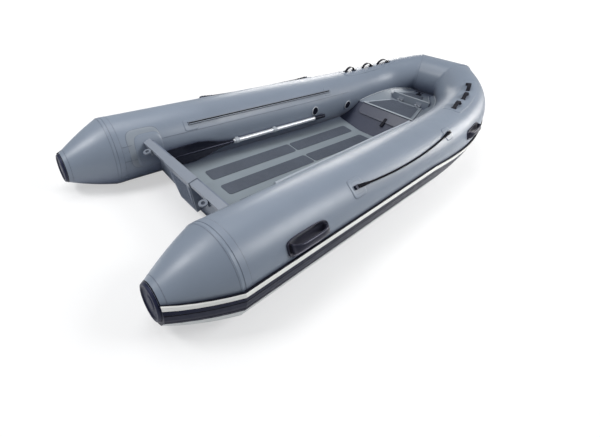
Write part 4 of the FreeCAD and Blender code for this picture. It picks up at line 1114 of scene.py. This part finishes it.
FLOOR_HALF = 60
FLOOR_BASE = 0.92
GLOW_MIDDLE_X = 1.4
GLOW_START = 2.4
SHARE_END = 3.8
NEAR_SHARE = 0.52
STRENGTH_END = 3.4
NEAR_STRENGTH = 0.99
FAR_STRENGTH = 1.1


def mix_shaders(tree, share, first, second, out):
    mixer = tree.nodes.new("ShaderNodeMixShader")
    tree.links.new(share, mixer.inputs[0])
    tree.links.new(first, mixer.inputs[1])
    tree.links.new(second, mixer.inputs[2])
    tree.links.new(mixer.outputs[0], out.inputs[0])


floor_mesh = bpy.data.meshes.new("studio_floor")
floor_corners = [(x * FLOOR_HALF, y * FLOOR_HALF, 0) for x, y in ((-1, -1), (1, -1), (1, 1), (-1, 1))]
floor_mesh.from_pydata(floor_corners, [], [(0, 1, 2, 3)])
floor = bpy.data.objects.new("studio_floor", floor_mesh)
scene.collection.objects.link(floor)
material, tree, shader = new_material("studio_floor")
shader.inputs["Base Color"].default_value = (*grey(FLOOR_BASE), 1)
shader.inputs["Roughness"].default_value = 0.9
shader.inputs["Specular IOR Level"].default_value = 0.1
place = tree.nodes.new("ShaderNodeTexCoord")
shift = tree.nodes.new("ShaderNodeMapping")
shift.inputs["Location"].default_value = (-GLOW_MIDDLE_X, 0, 0)
tree.links.new(place.outputs["Object"], shift.inputs[0])
reach = tree.nodes.new("ShaderNodeVectorMath")
reach.operation = "LENGTH"
tree.links.new(shift.outputs[0], reach.inputs[0])
away = reach.outputs["Value"]
glow = tree.nodes.new("ShaderNodeEmission")
glow.inputs["Color"].default_value = (*EVEN, 1)
strength = map_range(tree, away, GLOW_START, STRENGTH_END, NEAR_STRENGTH, FAR_STRENGTH)
tree.links.new(strength, glow.inputs["Strength"])
path = tree.nodes.new("ShaderNodeLightPath")
far_share = map_range(tree, away, GLOW_START, SHARE_END, NEAR_SHARE)
share = maths(tree, "MULTIPLY", path.outputs["Is Camera Ray"], far_share)
output = next(node for node in tree.nodes if node.type == "OUTPUT_MATERIAL")
mix_shaders(tree, share, shader.outputs[0], glow.outputs[0], output)
floor_mesh.materials.append(material)

# Soft bluish surroundings, plain white where the camera sees them

SKY = (0.88, 0.93, 1.0)
SKY_STRENGTH = 0.24

world = bpy.data.worlds.new("studio")
scene.world = world
world.use_nodes = True
tree = world.node_tree
tree.nodes.clear()


def background(colour, strength):
    node = tree.nodes.new("ShaderNodeBackground")
    node.inputs["Color"].default_value = (*colour, 1)
    node.inputs["Strength"].default_value = strength
    return node.outputs[0]


path = tree.nodes.new("ShaderNodeLightPath")
seen = maths(tree, "MAXIMUM", path.outputs["Is Camera Ray"], path.outputs["Is Transmission Ray"])
output = tree.nodes.new("ShaderNodeOutputWorld")
mix_shaders(tree, seen, background(SKY, SKY_STRENGTH), background(EVEN, 1.0), output)

# Lights: place, target and size in metres, power in watts

WARM = (1.0, 0.97, 0.93)


def area(name, place, target, size, power, colour=EVEN):
    light = bpy.data.lights.new(name, "AREA")
    light.shape = "RECTANGLE"
    light.size = size[0]
    light.size_y = size[1]
    light.energy = power
    light.color = colour
    lamp = bpy.data.objects.new(name, light)
    lamp.location = place
    lamp.rotation_euler = (Vector(target) - Vector(place)).to_track_quat("-Z", "Y").to_euler()
    scene.collection.objects.link(lamp)


area("key", (-3.4, 1.8, 4.9), (0.6, 0.0, 0.3), (2.0, 1.9), 198)
area("overhead", (0.6, 1.6, 5.8), (1.2, 0.0, 0.3), (4.0, 3.0), 142)
area("bow_streak", (3.9, -3.4, 4.0), (0.9, -0.1, 0.3), (2.4, 2.1), 180)
area("bow_low", (8.3, -2.9, 2.3), (1.8, -0.7, 0.4), (2.4, 1.5), 125, WARM)
area("far_wall", (6.2, 4.6, 2.2), (1.6, 0.5, 0.4), (4.2, 1.7), 138, WARM)

# Camera recovered from the photograph: lengths in its pixels, and its place in metres

PHOTO_WIDTH = 600
FOCAL_PIXELS = 320.73
SHIFT_X_PIXELS = 66.87
SHIFT_Y_PIXELS = 0.976
SENSOR = 36.0
CAMERA_PLACE = Vector((-0.7737, -1.5204, 1.3970))
YAW = math.radians(49.680)
PITCH = math.radians(39.825)
ROLL = math.radians(4.585)

look = Vector((math.cos(YAW) * math.cos(PITCH), math.sin(YAW) * math.cos(PITCH), -math.sin(PITCH)))
right = Vector((math.sin(YAW), -math.cos(YAW), 0))
up = right.cross(look)
right_rolled = right * math.cos(ROLL) + up * math.sin(ROLL)
up_rolled = up * math.cos(ROLL) - right * math.sin(ROLL)
camera_data = bpy.data.cameras.new("photo_camera")
camera_data.sensor_width = SENSOR
camera_data.lens = FOCAL_PIXELS / PHOTO_WIDTH * SENSOR
camera_data.shift_x = SHIFT_X_PIXELS / PHOTO_WIDTH
camera_data.shift_y = SHIFT_Y_PIXELS / PHOTO_WIDTH
camera_data.clip_end = 200
camera = bpy.data.objects.new("photo_camera", camera_data)
rotation = Matrix((right_rolled, up_rolled, -look)).transposed()
camera.matrix_world = Matrix.Translation(CAMERA_PLACE) @ rotation.to_4x4()
scene.collection.objects.link(camera)
scene.camera = camera
